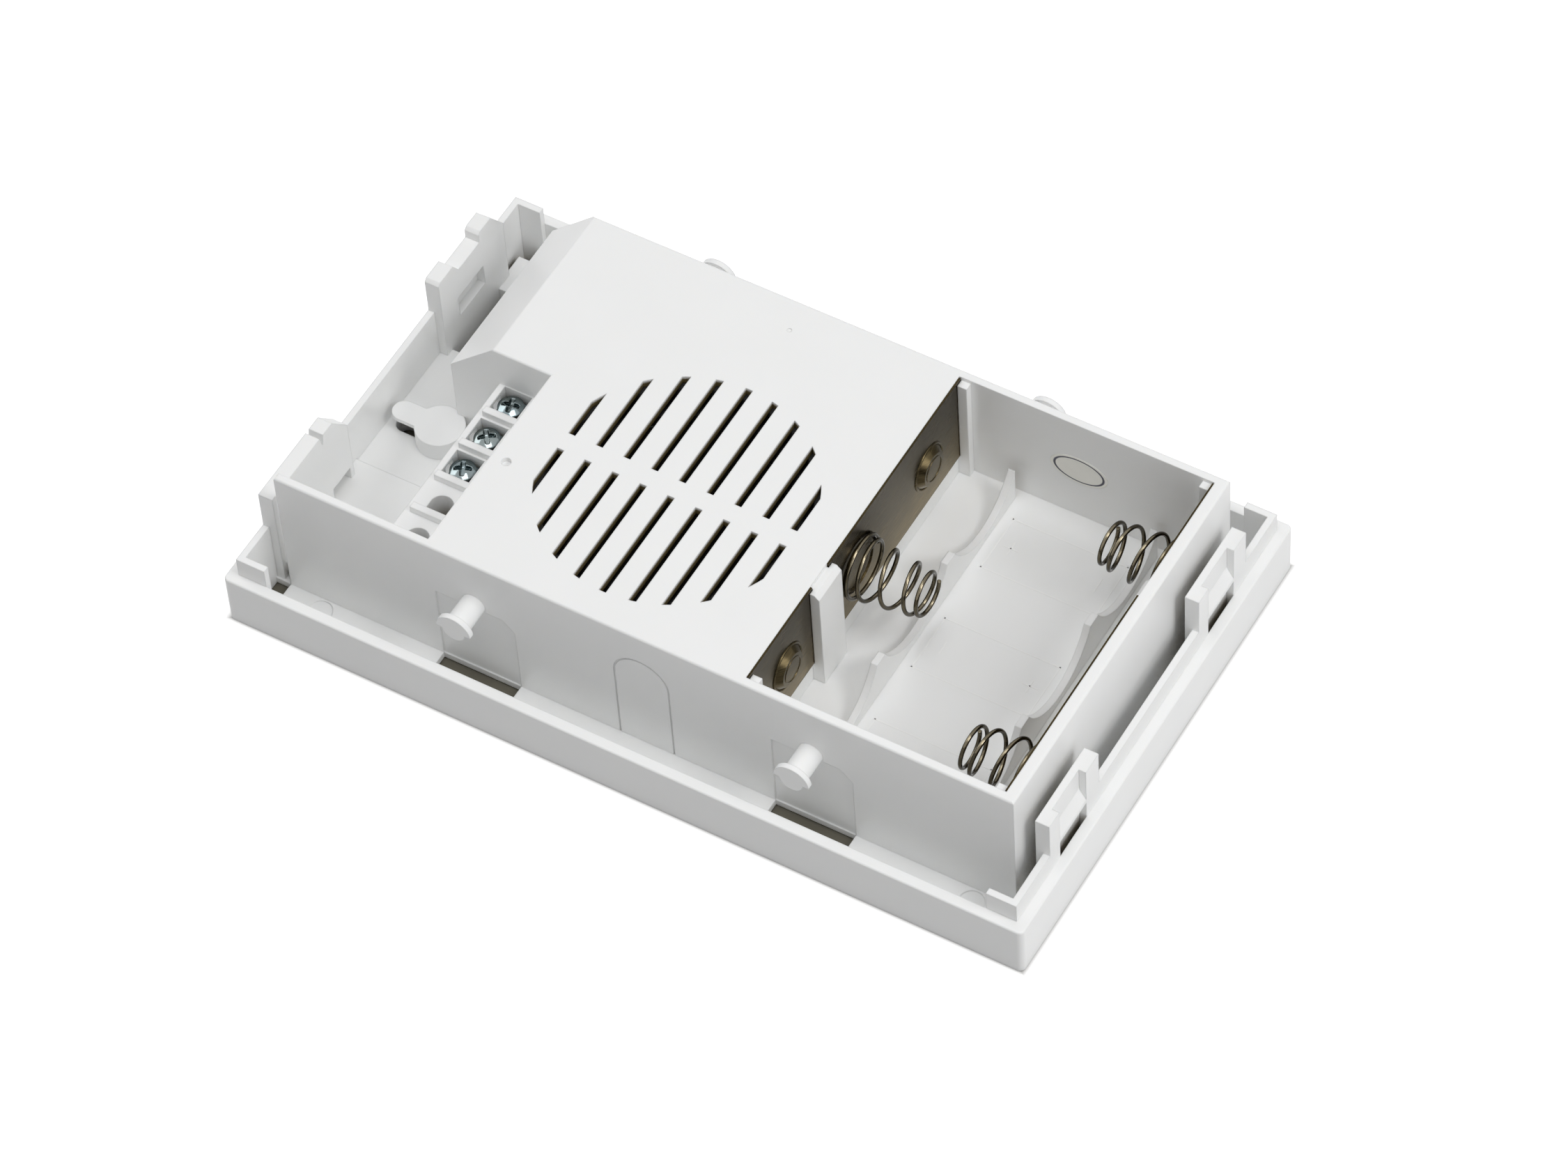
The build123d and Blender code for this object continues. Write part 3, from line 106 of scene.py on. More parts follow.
def rounded_edges(tree, radius, bump_source, bump, distance):
    """Softens the shading of sharp edges, with fine surface height on top."""
    soft = add_node(tree, "ShaderNodeBevel", samples=6, Radius=radius)
    height = add_node(tree, "ShaderNodeBump", Strength=bump, Distance=distance)
    tree.links.new(bump_source, height.inputs["Height"])
    tree.links.new(soft.outputs["Normal"], height.inputs["Normal"])
    return height.outputs["Normal"]


def dark(colour, factor):
    """The colour, dimmed."""
    return tuple(channel * factor for channel in colour)


def multiply(tree, first, second):
    """The product of two values."""
    node = add_node(tree, "ShaderNodeMath", operation="MULTIPLY")
    tree.links.new(first, node.inputs[0])
    tree.links.new(second, node.inputs[1])
    return node.outputs[0]


def multiply_colours(tree, first, second, share=1.0):
    """One colour tinted by another, by a share from 0 to 1."""
    node = add_node(tree, "ShaderNodeMix", data_type="RGBA", blend_type="MULTIPLY")
    node.inputs["Factor"].default_value = share
    tree.links.new(first, node.inputs["A"])
    tree.links.new(second, node.inputs["B"])
    return node.outputs["Result"]


def switch_on(tree, value, none_at, full_at):
    """0 at the one value, 1 at the other and held there."""
    node = add_node(tree, "ShaderNodeMapRange", clamp=True)
    node.inputs["From Min"].default_value = none_at
    node.inputs["From Max"].default_value = full_at
    tree.links.new(value, node.inputs["Value"])
    return node.outputs["Result"]


def tint_finish(finish, colour):
    """Multiplies a finish's base colour by another colour."""
    tree = finish.node_tree
    base = tree.nodes["Principled BSDF"].inputs["Base Color"]
    tree.links.new(multiply_colours(tree, base.links[0].from_socket, colour), base)


print("helpers ready")

# %% [markdown]
# ## White moulded plastic
# The base is a glossy white moulding. It lets a little light in, so its shade is soft. Deep gaps
# between walls get painted shade in the base colour, warm as where light has bounced off plastic
# many times. An ambient occlusion node finds those gaps from the shape alone, and it holds from
# every side. The walls of the grille's slots carry painted shade too, set dark by their place,
# under the deck's top and within the grille. A very fine noise gives the faint ripple that a
# moulding has in its reflections.

# %% White plastic
WHITE = (0.925, 0.93, 0.925)
GAP_SHADE = (0.20, 0.155, 0.07)
NARROW_SHADE = (0.84, 0.81, 0.73)
GAP_REACH = 10.0 * MM
PLASTIC_EDGE = 0.35 * MM
RIPPLE_HEIGHT = 0.03 * MM
SPEAKER_X = -11.35 * MM
SPEAKER_Y = -8.45 * MM
GRILLE_REACH = 29.2 * MM
GRILLE_FADE = 0.4 * MM
DECK_TOP = 34.5 * MM
SLOT_SHADE_TOP = (DECK_TOP - 0.3 * MM, DECK_TOP - 0.9 * MM)
SLOT_SHADE_FOOT = (DECK_TOP - 6.0 * MM, DECK_TOP - 5.0 * MM)

plastic, tree, shader = new_finish("white_moulded_plastic")
gap = add_node(tree, "ShaderNodeAmbientOcclusion", samples=16, Distance=GAP_REACH)
drift = place_noise(tree, 60.0, 4.0)
tone = ramp(tree, drift.outputs["Fac"], ((0.3, dark(WHITE, 0.985)), (0.7, WHITE)))
# Painted shade: the base colour turns warm brown where ambient occlusion finds narrow gaps.
painted_gap_shade = ramp(
    tree, gap.outputs["AO"], ((0.0, GAP_SHADE), (0.03, NARROW_SHADE), (0.07, (1, 1, 1)))
)
tone_with_painted_shade = multiply_colours(tree, tone, painted_gap_shade)
where = add_node(tree, "ShaderNodeTexCoord")
apart = add_node(tree, "ShaderNodeSeparateXYZ")
tree.links.new(where.outputs["Object"], apart.inputs[0])
flat_place = add_node(tree, "ShaderNodeCombineXYZ")
tree.links.new(apart.outputs["X"], flat_place.inputs["X"])
tree.links.new(apart.outputs["Y"], flat_place.inputs["Y"])
from_grille = add_node(tree, "ShaderNodeVectorMath", operation="DISTANCE")
from_grille.inputs[1].default_value = (SPEAKER_X, SPEAKER_Y, 0.0)
tree.links.new(flat_place.outputs[0], from_grille.inputs[0])
near = switch_on(tree, from_grille.outputs["Value"], GRILLE_REACH, GRILLE_REACH - GRILLE_FADE)
under = switch_on(tree, apart.outputs["Z"], *SLOT_SHADE_TOP)
above = switch_on(tree, apart.outputs["Z"], *SLOT_SHADE_FOOT)
# Painted shade: the slot walls under the deck's top and within the grille are darkened to the gap
# shade colour.
slot_shade_mask = multiply(tree, multiply(tree, near, under), above)
painted_slot_shade = ramp(tree, slot_shade_mask, ((0.0, (1, 1, 1)), (1.0, GAP_SHADE)))
tree.links.new(multiply_colours(tree, tone_with_painted_shade, painted_slot_shade), shader.inputs["Base Color"])
gloss = place_noise(tree, 140.0, 3.0)
tree.links.new(value_range(tree, gloss.outputs["Fac"], 0.30, 0.40), shader.inputs["Roughness"])
ripple = place_noise(tree, 900.0, 2.0)
tree.links.new(
    rounded_edges(tree, PLASTIC_EDGE, ripple.outputs["Fac"], 0.05, RIPPLE_HEIGHT),
    shader.inputs["Normal"],
)
shader.inputs["IOR"].default_value = 1.5
shader.inputs["Subsurface Weight"].default_value = 0.12
shader.inputs["Subsurface Radius"].default_value = (1.0, 0.9, 0.75)
shader.inputs["Subsurface Scale"].default_value = 0.0012
print("plastic", plastic.name)

# %% [markdown]
# ## Metals
# Contact plates are nickel-plated strip, rolled along their length, with fine streaks. Their
# grey-brown base colour, far darker than nickel, is painted reflection of a dim room, and painted
# light makes them brighter at their foot and darker towards their top. Springs are drawn wire,
# bright and smooth; their dark base colour is painted reflection as well. Screws and clamp plates
# are zinc, bluish and a little blotchy. Wire and zinc get painted shade where they turn away from
# the eye. All share one builder, which streaks along an axis.

# %% Metal finishes
METAL_EDGE = 0.12 * MM
METAL_GRAIN_HEIGHT = 0.03 * MM
BLOTCH_SHARE = 0.8
PLATE_FOOT = 13.0 * MM
PLATE_TOP = 33.0 * MM


def metal(
    name, colour, roughness, streak=(1, 1, 1), scale=300.0, spread=0.25, tint=None, rim_shade=1.0
):
    """A metal whose tone and gloss drift, streaked by how far its noise is stretched.

    The last argument sets painted shade: it dims the colour where the surface turns away from
    the eye, standing in for the dim room that round bright wire reflects.
    """
    finish, tree, shader = new_finish(name)
    grain = place_noise(tree, scale, 4.0, streak)
    patches = place_noise(tree, 90.0, 3.0)
    streaked = ramp(
        tree,
        grain.outputs["Fac"],
        ((0.3, dark(colour, 1 - spread)), (0.7, colour)),
    )
    blotch = ramp(
        tree, patches.outputs["Fac"], ((0.35, tint or dark((1, 1, 1), 0.86)), (0.65, (1, 1, 1)))
    )
    patchy = multiply_colours(tree, streaked, blotch, BLOTCH_SHARE)
    # Painted shade: the colour dims where the surface turns away from the eye.
    facing = add_node(tree, "ShaderNodeLayerWeight", Blend=0.5)
    painted_rim_shade = ramp(
        tree, facing.outputs["Facing"], ((0.15, (1, 1, 1)), (0.75, (rim_shade, rim_shade, rim_shade * 0.9)))
    )
    dimmed = multiply_colours(tree, patchy, painted_rim_shade)
    tree.links.new(dimmed, shader.inputs["Base Color"])
    tree.links.new(
        value_range(tree, grain.outputs["Fac"], roughness * 0.75, roughness * 1.3),
        shader.inputs["Roughness"],
    )
    shader.inputs["Metallic"].default_value = 1.0
    tree.links.new(
        rounded_edges(tree, METAL_EDGE, grain.outputs["Fac"], 0.12, METAL_GRAIN_HEIGHT),
        shader.inputs["Normal"],
    )
    return finish


# Painted reflection: the nickel's base colour is far darker than nickel, for the dim room it
# reflects.
nickel = metal("rolled_nickel_strip", (0.125, 0.098, 0.052), 0.25, (1.0, 0.6, 14.0), 260.0, 0.45)
# Painted reflection: the wire's base colour is darkened, for the dim room it reflects.
wire = metal(
    "bright_spring_wire", (0.20, 0.172, 0.12), 0.07, (1, 1, 1), 500.0, 0.12, None, 0.16
)
zinc = metal(
    "zinc_plated_steel", (0.30, 0.34, 0.34), 0.11, (1, 1, 1), 420.0, 0.2, (0.78, 0.9, 1.0), 0.45
)
tree = nickel.node_tree
height = add_node(tree, "ShaderNodeTexCoord")
apart = add_node(tree, "ShaderNodeSeparateXYZ")
tree.links.new(height.outputs["Object"], apart.inputs[0])
climb = add_node(tree, "ShaderNodeMapRange")
climb.inputs["From Min"].default_value = PLATE_FOOT
climb.inputs["From Max"].default_value = PLATE_TOP
tree.links.new(apart.outputs["Z"], climb.inputs["Value"])
# Painted light and shade: the plates' colour is lifted towards their foot and dimmed towards their
# top.
painted_light_at_foot = ramp(
    tree,
    climb.outputs["Result"],
    ((0.0, (2.1, 2.05, 2.0)), (0.55, (1.0, 1.0, 1.0)), (1.0, (0.6, 0.58, 0.52))),
)
tint_finish(nickel, painted_light_at_foot)
brass = metal("tinned_brass_post", (0.66, 0.62, 0.50), 0.32, (1, 1, 6.0), 300.0, 0.2)
copper = metal("lacquered_copper_wire", (0.72, 0.36, 0.20), 0.30, (1, 1, 40.0), 200.0, 0.4)
tinned = metal("tinned_lug", (0.66, 0.66, 0.64), 0.36, (1, 1, 1), 240.0, 0.25)
print("metals ready")

# %% [markdown]
# ## Dull and soft finishes
# Finishes that are neither white plastic nor metal share one recipe. Resin, laminate, paper,
# ceramic, foam and cloth differ in colour, gloss, grain size and how deep the grain is. The
# sticker's oval line is drawn by its place, as part of its finish.

# %% Dull finishes
DULL_EDGE = 0.15 * MM
DULL_GRAIN_HEIGHT = 0.06 * MM
LABEL_CENTRE = (48.3 * MM, 40.4 * MM, 20.7 * MM)
LABEL_HALF_LENGTH = 6.25 * MM
LABEL_HALF_HEIGHT = 3.75 * MM
LABEL_INK = (0.05, 0.05, 0.09)


def dull(name, colour, roughness, scale, depth, second=None, stretch=(1, 1, 1), coat=0.0):
    """A finish with two tones of one colour, mottled at the scale given in cells per metre."""
    finish, tree, shader = new_finish(name)
    mottle = place_noise(tree, scale, 5.0, stretch)
    tone = ramp(
        tree, mottle.outputs["Fac"], ((0.35, second or dark(colour, 0.78)), (0.65, colour))
    )
    tree.links.new(tone, shader.inputs["Base Color"])
    tree.links.new(
        value_range(tree, mottle.outputs["Fac"], roughness * 0.85, min(1.0, roughness * 1.15)),
        shader.inputs["Roughness"],
    )
    tree.links.new(
        rounded_edges(tree, DULL_EDGE, mottle.outputs["Fac"], depth, DULL_GRAIN_HEIGHT),
        shader.inputs["Normal"],
    )
    shader.inputs["Coat Weight"].default_value = coat
    return finish


laminate = dull(
    "phenolic_board", (0.42, 0.25, 0.10), 0.55, 700.0, 0.2, (0.32, 0.17, 0.06), (1, 9, 1)
)
lug_laminate = dull("lug_strip_laminate", (0.20, 0.10, 0.05), 0.6, 500.0, 0.2)
resin = dull("black_potting_resin", (0.018, 0.018, 0.020), 0.28, 220.0, 0.15, coat=0.2)
sleeve = dull("capacitor_sleeve", (0.016, 0.030, 0.085), 0.34, 160.0, 0.05, coat=0.3)
resistor_coat = dull("resistor_lacquer", (0.58, 0.42, 0.25), 0.42, 420.0, 0.1, coat=0.2)
disc_coat = dull("ceramic_disc_dip", (0.48, 0.20, 0.05), 0.46, 300.0, 0.15)
ferrite = dull("pressed_ferrite", (0.035, 0.035, 0.038), 0.72, 800.0, 0.4)
former_paper = dull("coil_former_paper", (0.46, 0.28, 0.13), 0.7, 600.0, 0.2, None, (1, 1, 5))
cone_paper = dull("pressed_cone_paper", (0.022, 0.020, 0.018), 0.85, 1300.0, 0.6)
rubber = dull("surround_rubber", (0.014, 0.014, 0.014), 0.5, 900.0, 0.2)
foam = dull("gasket_foam", (0.018, 0.018, 0.018), 0.95, 1600.0, 0.9)
cloth = dull("spider_cloth", (0.44, 0.26, 0.07), 0.9, 1800.0, 0.7)
sticker = dull("inspection_sticker", (0.95, 0.94, 0.88), 0.42, 260.0, 0.04, (0.92, 0.91, 0.85))
tree = sticker.node_tree
where = add_node(tree, "ShaderNodeTexCoord")
middle = add_node(tree, "ShaderNodeVectorMath", operation="SUBTRACT")
middle.inputs[1].default_value = LABEL_CENTRE
tree.links.new(where.outputs["Object"], middle.inputs[0])
share = add_node(tree, "ShaderNodeVectorMath", operation="MULTIPLY")
share.inputs[1].default_value = (1 / LABEL_HALF_LENGTH, 0.0, 1 / LABEL_HALF_HEIGHT)
tree.links.new(middle.outputs[0], share.inputs[0])
oval = add_node(tree, "ShaderNodeVectorMath", operation="LENGTH")
tree.links.new(share.outputs[0], oval.inputs[0])
line = ramp(
    tree,
    oval.outputs["Value"],
    (
        (0.80, (1, 1, 1)),
        (0.83, LABEL_INK),
        (0.88, LABEL_INK),
        (0.91, (1, 1, 1)),
    ),
)
tint_finish(sticker, line)
print("dull finishes ready")

# %% [markdown]
# ## Dressing the rigid nodes
# Most nodes keep their own mesh from the model, because its shape is right already. They only
# take a finish, and smooth shading with an angle limit so that round parts look round. Springs,
# terminal screws and the soft speaker pieces get a finish too, but are made again further on.

# %% Finishes for the rigid nodes
FINISHES = {
    "base_moulding": plastic,
    "rear_cover": plastic,
    "rear_cover_screws": zinc,
    "contact_plate_left_long": nickel,
    "contact_plate_left_front": nickel,
    "contact_plate_right_long": nickel,
    "contact_plate_right_rear": nickel,
    "spring_left_middle": wire,
    "spring_right_rear": wire,
    "spring_right_front": wire,
    "terminal_posts": brass,
    "clamp_plate_1": zinc,
    "clamp_plate_2": zinc,
    "clamp_plate_3": zinc,
    "terminal_screw_1": zinc,
    "terminal_screw_2": zinc,
    "terminal_screw_3": zinc,
    "circuit_board": laminate,
    "board_screws": zinc,
    "melody_chip": resin,
    "supply_capacitor": sleeve,
    "output_capacitor": sleeve,
    "drive_transistors": resin,
    "resistors": resistor_coat,
    "disc_capacitors": disc_coat,
    "speaker_gasket": foam,
    "speaker_basket": zinc,
    "speaker_pole_plate": zinc,
    "speaker_magnet": ferrite,
    "speaker_yoke": zinc,
    "voice_coil_former": former_paper,
    "voice_coil_winding": copper,
    "speaker_cone": cone_paper,
    "speaker_dust_cap": cone_paper,
    "speaker_surround": rubber,
    "speaker_spider": cloth,
    "speaker_lug_board": lug_laminate,
    "speaker_lugs": tinned,
    "speaker_clamp_washers": zinc,
    "speaker_clamp_screws": zinc,
    "inspection_label": sticker,
}
SMOOTH_LIMIT = math.radians(28)


def dress(piece, finish):
    """Gives a piece its finish and smooth shading that stops at real edges."""
    piece.data.materials.clear()
    piece.data.materials.append(finish)
    piece.data.shade_smooth()
    if hasattr(piece.data, "set_sharp_from_angle"):
        piece.data.set_sharp_from_angle(angle=SMOOTH_LIMIT)


def as_piece(name, work):
    """Turns the mesh being worked on into an object of the scene."""
    mesh = bpy.data.meshes.new(name)
    work.to_mesh(mesh)
    work.free()
    piece = bpy.data.objects.new(name, mesh)
    scene.collection.objects.link(piece)
    return piece


for name, piece in nodes.items():
    dress(piece, FINISHES[name])
print("dressed", len(FINISHES), "missing", sorted(set(nodes) - set(FINISHES)))

# %% [markdown]
# ## Battery springs
# Each spring is one drawn wire: a cone of five turns, closed up at both ends, with its cut end
# standing free at the tip. The rigid model's coil has 0.9 mm wire and more even turns. Here it
# is swept again in small steps, in 0.86 mm wire, with turns that lie closer at the ends and small
# chamfers where the wire was cut. It could be a curve with a bevel, but a mesh lets us shape
# those ends.

# %% Springs
WIRE_RADIUS = 0.43 * MM
SPRING_LENGTH = 15.6 * MM
BASE_RADIUS = 6.7 * MM
TIP_RADIUS = 4.0 * MM
TURNS = 5
CLOSED_ENDS = 0.78
SEAT_GAP = 0.03 * MM
CUT_CHAMFER = 0.08 * MM
STEPS_PER_TURN = 56
SECTION_SIDES = 18


def spring_centre(share, seat_x, side, axis_y, axis_z):
    """Centre of the wire at a share of the spring's turns."""
    angle = 2 * math.pi * TURNS * share
    radius = BASE_RADIUS + (TIP_RADIUS - BASE_RADIUS) * share
    climb = SPRING_LENGTH - 2 * WIRE_RADIUS
    along = climb * (share - CLOSED_ENDS * math.sin(2 * math.pi * share) / (2 * math.pi))
    return Vector(
        (
            seat_x + side * (along + WIRE_RADIUS + SEAT_GAP),
            axis_y + radius * math.cos(angle),
            axis_z + radius * math.sin(angle),
        )
    )


def tube(name, path, radius, sides, end_chamfer):
    """A closed round tube along points, with a narrow chamfer at each end."""
    work = bmesh.new()
    rings = []
    first = (path[1] - path[0]).normalized()
    across = first.orthogonal().normalized()
    stations = [(path[0], radius - end_chamfer)]
    stations.append((path[0] + first * end_chamfer, radius))
    stations += [(point, radius) for point in path[1:-1]]
    last = (path[-1] - path[-2]).normalized()
    stations.append((path[-1] - last * end_chamfer, radius))
    stations.append((path[-1], radius - end_chamfer))
    for index, (point, size) in enumerate(stations):
        before = stations[max(index - 1, 0)][0]
        after = stations[min(index + 1, len(stations) - 1)][0]
        heading = (after - before).normalized()
        across = (across - heading * across.dot(heading)).normalized()
        up = heading.cross(across)
        ring = []
        for corner in range(sides):
            turn = 2 * math.pi * corner / sides
            offset = across * math.cos(turn) * size + up * math.sin(turn) * size
            ring.append(work.verts.new(point + offset))
        rings.append(ring)
    for ring, following in zip(rings, rings[1:]):
        for corner in range(sides):
            other = (corner + 1) % sides
            work.faces.new((ring[corner], ring[other], following[other], following[corner]))
    work.faces.new(list(reversed(rings[0])))
    work.faces.new(rings[-1])
    bmesh.ops.recalc_face_normals(work, faces=work.faces)
    return as_piece(name, work)


CONTACT_HEIGHT = 22.0
LEFT_SHEET = 22.9
RIGHT_SHEET = 77.1
CELL_PITCH = 27.0
SPRING_PLACES = {
    "spring_left_middle": (LEFT_SHEET * MM, 1, 0.0),
    "spring_right_rear": (RIGHT_SHEET * MM, -1, CELL_PITCH * MM),
    "spring_right_front": (RIGHT_SHEET * MM, -1, -CELL_PITCH * MM),
}
for node, (seat_x, side, axis_y) in SPRING_PLACES.items():
    count = TURNS * STEPS_PER_TURN
    route = [
        spring_centre(index / count, seat_x, side, axis_y, CONTACT_HEIGHT * MM)
        for index in range(count + 1)
    ]
    coil = tube(f"{node}_wire", route, WIRE_RADIUS, SECTION_SIDES, CUT_CHAMFER)
    dress(coil, wire)
    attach(coil, "base")
    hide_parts(node)
    print(coil.name, "turns", TURNS, "points", len(route))

# %% [markdown]
# ## Pressed buttons on the contact plates
# Each flat contact has a raised button. The press leaves a round bead at the button's foot and
# a fine ring on its crown. They are turned rings about the button's axis, half sunk in the
# sheet, so they catch the light as on the real plate.

# %% Button rings
BUTTON_RISE = 1.2
FOOT_BEAD = (5.05, 0.26)
CROWN_RING = (2.75, 0.13)
RING_STEPS = 96
ROUND_STEPS = 16


def add_ring(work, centre, radius, thickness):
    """A ring about an axis along X, added to the mesh in work. All sizes are in mm."""
    loops = []
    for step in range(RING_STEPS):
        around = 2 * math.pi * step / RING_STEPS
        loop = []
        for part in range(ROUND_STEPS):
            turn = 2 * math.pi * part / ROUND_STEPS
            reach = radius + thickness * math.cos(turn)
            offset = Vector(
                (thickness * math.sin(turn), reach * math.cos(around), reach * math.sin(around))
            )
            loop.append(work.verts.new((Vector(centre) + offset) * MM))
        loops.append(loop)
    for step, loop in enumerate(loops):
        following = loops[(step + 1) % RING_STEPS]
        for part in range(ROUND_STEPS):
            other = (part + 1) % ROUND_STEPS
            work.faces.new((loop[part], loop[other], following[other], following[part]))


BUTTONS = (
    ("left_long", LEFT_SHEET, LEFT_SHEET + BUTTON_RISE, CELL_PITCH),
    ("left_front", LEFT_SHEET, LEFT_SHEET + BUTTON_RISE, -CELL_PITCH),
    ("right_long", RIGHT_SHEET, RIGHT_SHEET - BUTTON_RISE, 0.0),
)
for plate, sheet_face, crown_face, row in BUTTONS:
    work = bmesh.new()
    add_ring(work, (sheet_face, row, CONTACT_HEIGHT), *FOOT_BEAD)
    add_ring(work, (crown_face, row, CONTACT_HEIGHT), *CROWN_RING)
    bmesh.ops.recalc_face_normals(work, faces=work.faces)
    rings = as_piece(f"button_rings_{plate}", work)
    dress(rings, nickel)
    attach(rings, "base")
    print(rings.name, "vertices", len(rings.data.vertices))

# %% [markdown]
# ## Terminal screws
# The heads are domed, with a broad cross whose walls slope, so they catch light in small
# facets. A polar grid gives the top: its height is a dome less the cross. The same piece has
# the shank, with thread grooves a half millimetre apart.

# %% Domed cross-head screws
HEAD_RADIUS = 2.68
HEAD_HEIGHT = 2.1
HEAD_DOME = 0.75
RIM_ROUND = 0.15
UNDERSIDE_CHAMFER = 0.2
SHANK_RADIUS = 1.45
THREAD_ROOT = 1.24
TIP_RADII = (1.2, 0.9)
TIP_HEIGHT = 0.25
CROSS_REACH = 2.15
CROSS_HALF_WIDTH = 0.5
CROSS_DEPTH = 1.25
THREAD_PITCH = 0.5
SPOKES = 96
HEAD_RINGS = 27


def fade(value, low, high):
    """0 below low, 1 above high, smooth between."""
    share = min(1.0, max(0.0, (value - low) / (high - low)))
    return share * share * (3 - 2 * share)


def head_drop(x, y):
    """How far the head's top lies below its highest point, in mm."""
    radius = math.hypot(x, y)
    dome = HEAD_DOME * (radius / HEAD_RADIUS) ** 2.2
    arm = min(abs(x), abs(y))
    inside = 1 - fade(arm, CROSS_HALF_WIDTH - 0.16, CROSS_HALF_WIDTH + 0.08)
    depth = CROSS_DEPTH * (1 - fade(radius, 0.9, CROSS_REACH))
    return max(dome, depth * inside + dome * 0.5 * inside)


def cross_screw(name, centre, top, bottom, turn):
    """A screw from its axis place, the heights of its two ends and the turn of its cross."""
    under = top - HEAD_HEIGHT
    side = [(HEAD_RADIUS - 0.04, top - HEAD_DOME - RIM_ROUND)]
    side += [(HEAD_RADIUS - 0.02, under + RIM_ROUND)]
    side += [(HEAD_RADIUS - UNDERSIDE_CHAMFER, under), (SHANK_RADIUS, under)]
    height = under - UNDERSIDE_CHAMFER
    while height > bottom + 0.4:
        side += [(SHANK_RADIUS, height), (THREAD_ROOT, height - THREAD_PITCH / 2)]
        height -= THREAD_PITCH
    side += [(TIP_RADII[0], bottom + TIP_HEIGHT), (TIP_RADII[1], bottom)]
    work = bmesh.new()
    rings = []
    for index in range(1, HEAD_RINGS + 1):
        radius = (HEAD_RADIUS - 0.06) * index / HEAD_RINGS
        rings.append([(radius, None)] * SPOKES)
    rings += [[point] * SPOKES for point in side]
    placed = []
    for ring in rings:
        row = []
        for spoke, (radius, height) in enumerate(ring):
            angle = 2 * math.pi * spoke / SPOKES
            x, y = radius * math.cos(angle), radius * math.sin(angle)
            level = top - head_drop(x, y) if height is None else height
            place = Matrix.Rotation(turn, 3, "Z") @ Vector((x, y, level))
            row.append(work.verts.new((place + Vector((*centre, 0))) * MM))
        placed.append(row)
    middle = work.verts.new(Vector((*centre, top - head_drop(0, 0))) * MM)
    foot = work.verts.new(Vector((*centre, bottom)) * MM)
    for spoke in range(SPOKES):
        other = (spoke + 1) % SPOKES
        work.faces.new((middle, placed[0][spoke], placed[0][other]))
        work.faces.new((foot, placed[-1][other], placed[-1][spoke]))
        for ring, following in zip(placed, placed[1:]):
            work.faces.new((ring[spoke], following[spoke], following[other], ring[other]))
    bmesh.ops.recalc_face_normals(work, faces=work.faces)
    return as_piece(name, work)


for number, degrees in ((1, 12), (2, 38), (3, 24)):
    node = nodes[f"terminal_screw_{number}"]
    corners = [node.matrix_world @ Vector(corner) / MM for corner in node.bound_box]
    low = [min(corner[axis] for corner in corners) for axis in range(3)]
    high = [max(corner[axis] for corner in corners) for axis in range(3)]
    axis_place = ((low[0] + high[0]) / 2, (low[1] + high[1]) / 2)
    screw = cross_screw(
        f"terminal_screw_{number}_domed", axis_place, high[2], low[2], math.radians(degrees)
    )
    dress(screw, zinc)
    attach(screw, f"screw_{number}")
    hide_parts(f"terminal_screw_{number}")
    print(screw.name, "top", round(high[2], 2), "foot", round(low[2], 2))

# %% [markdown]
# ## Faint cell outlines on the bay floor
# The moulding has hair-thin raised outlines where the cells go, with plain plus and minus
# marks. They are low bars on the bay floor, coloured slightly lighter than the plastic as a
# painted highlight, so that they show.

# %% Cell outlines
BAY_FLOOR = 7.0
LINE_WIDTH = 0.26
LINE_HEIGHT = 0.06
BAY_MIDDLE = (LEFT_SHEET + RIGHT_SHEET) / 2
OUTLINE_HALF_LENGTH = 12.5
OUTLINE_HALF_WIDTH = 6.5
MARK_OFFSET = 9.5
MARK_REACH = 1.6


def raised_bars(name, bars):
    """Low boxes from (x, y, x, y) lines along X or Y in mm, all in one mesh."""
    work = bmesh.new()
    for x0, y0, x1, y1 in bars:
        size = (abs(x1 - x0) + LINE_WIDTH, abs(y1 - y0) + LINE_WIDTH, 2 * LINE_HEIGHT)
        middle = Vector(((x0 + x1) / 2, (y0 + y1) / 2, BAY_FLOOR)) * MM
        grow = Matrix.Diagonal(Vector((*size, 1))) * MM
        grow[3][3] = 1.0
        bmesh.ops.create_cube(work, size=1.0, matrix=Matrix.Translation(middle) @ grow)
    return as_piece(name, work)


line_plastic_painted_highlight, tree, shader = new_finish("raised_line_plastic")
# Painted highlight: the bars are a little lighter than the white plastic.
shader.inputs["Base Color"].default_value = (0.95, 0.95, 0.94, 1.0)
shader.inputs["Roughness"].default_value = 0.35
bars = []
for row, plus_side in ((-CELL_PITCH, -1), (0.0, 1), (CELL_PITCH, -1)):
    left, right = BAY_MIDDLE - OUTLINE_HALF_LENGTH, BAY_MIDDLE + OUTLINE_HALF_LENGTH
    front, back = row - OUTLINE_HALF_WIDTH, row + OUTLINE_HALF_WIDTH
    bars += [(left, front, right, front), (left, back, right, back)]
    bars += [(left, front, left, back), (right, front, right, back)]
    plus_x = BAY_MIDDLE + plus_side * MARK_OFFSET
    minus_x = BAY_MIDDLE - plus_side * MARK_OFFSET
    bars += [(plus_x - MARK_REACH, row, plus_x + MARK_REACH, row)]
    bars += [(plus_x, row - MARK_REACH, plus_x, row + MARK_REACH)]
    bars += [(minus_x, row - MARK_REACH, minus_x, row + MARK_REACH)]
outlines = raised_bars("cell_outlines", bars)
dress(outlines, line_plastic_painted_highlight)
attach(outlines, "base")
print("bars", len(bars))

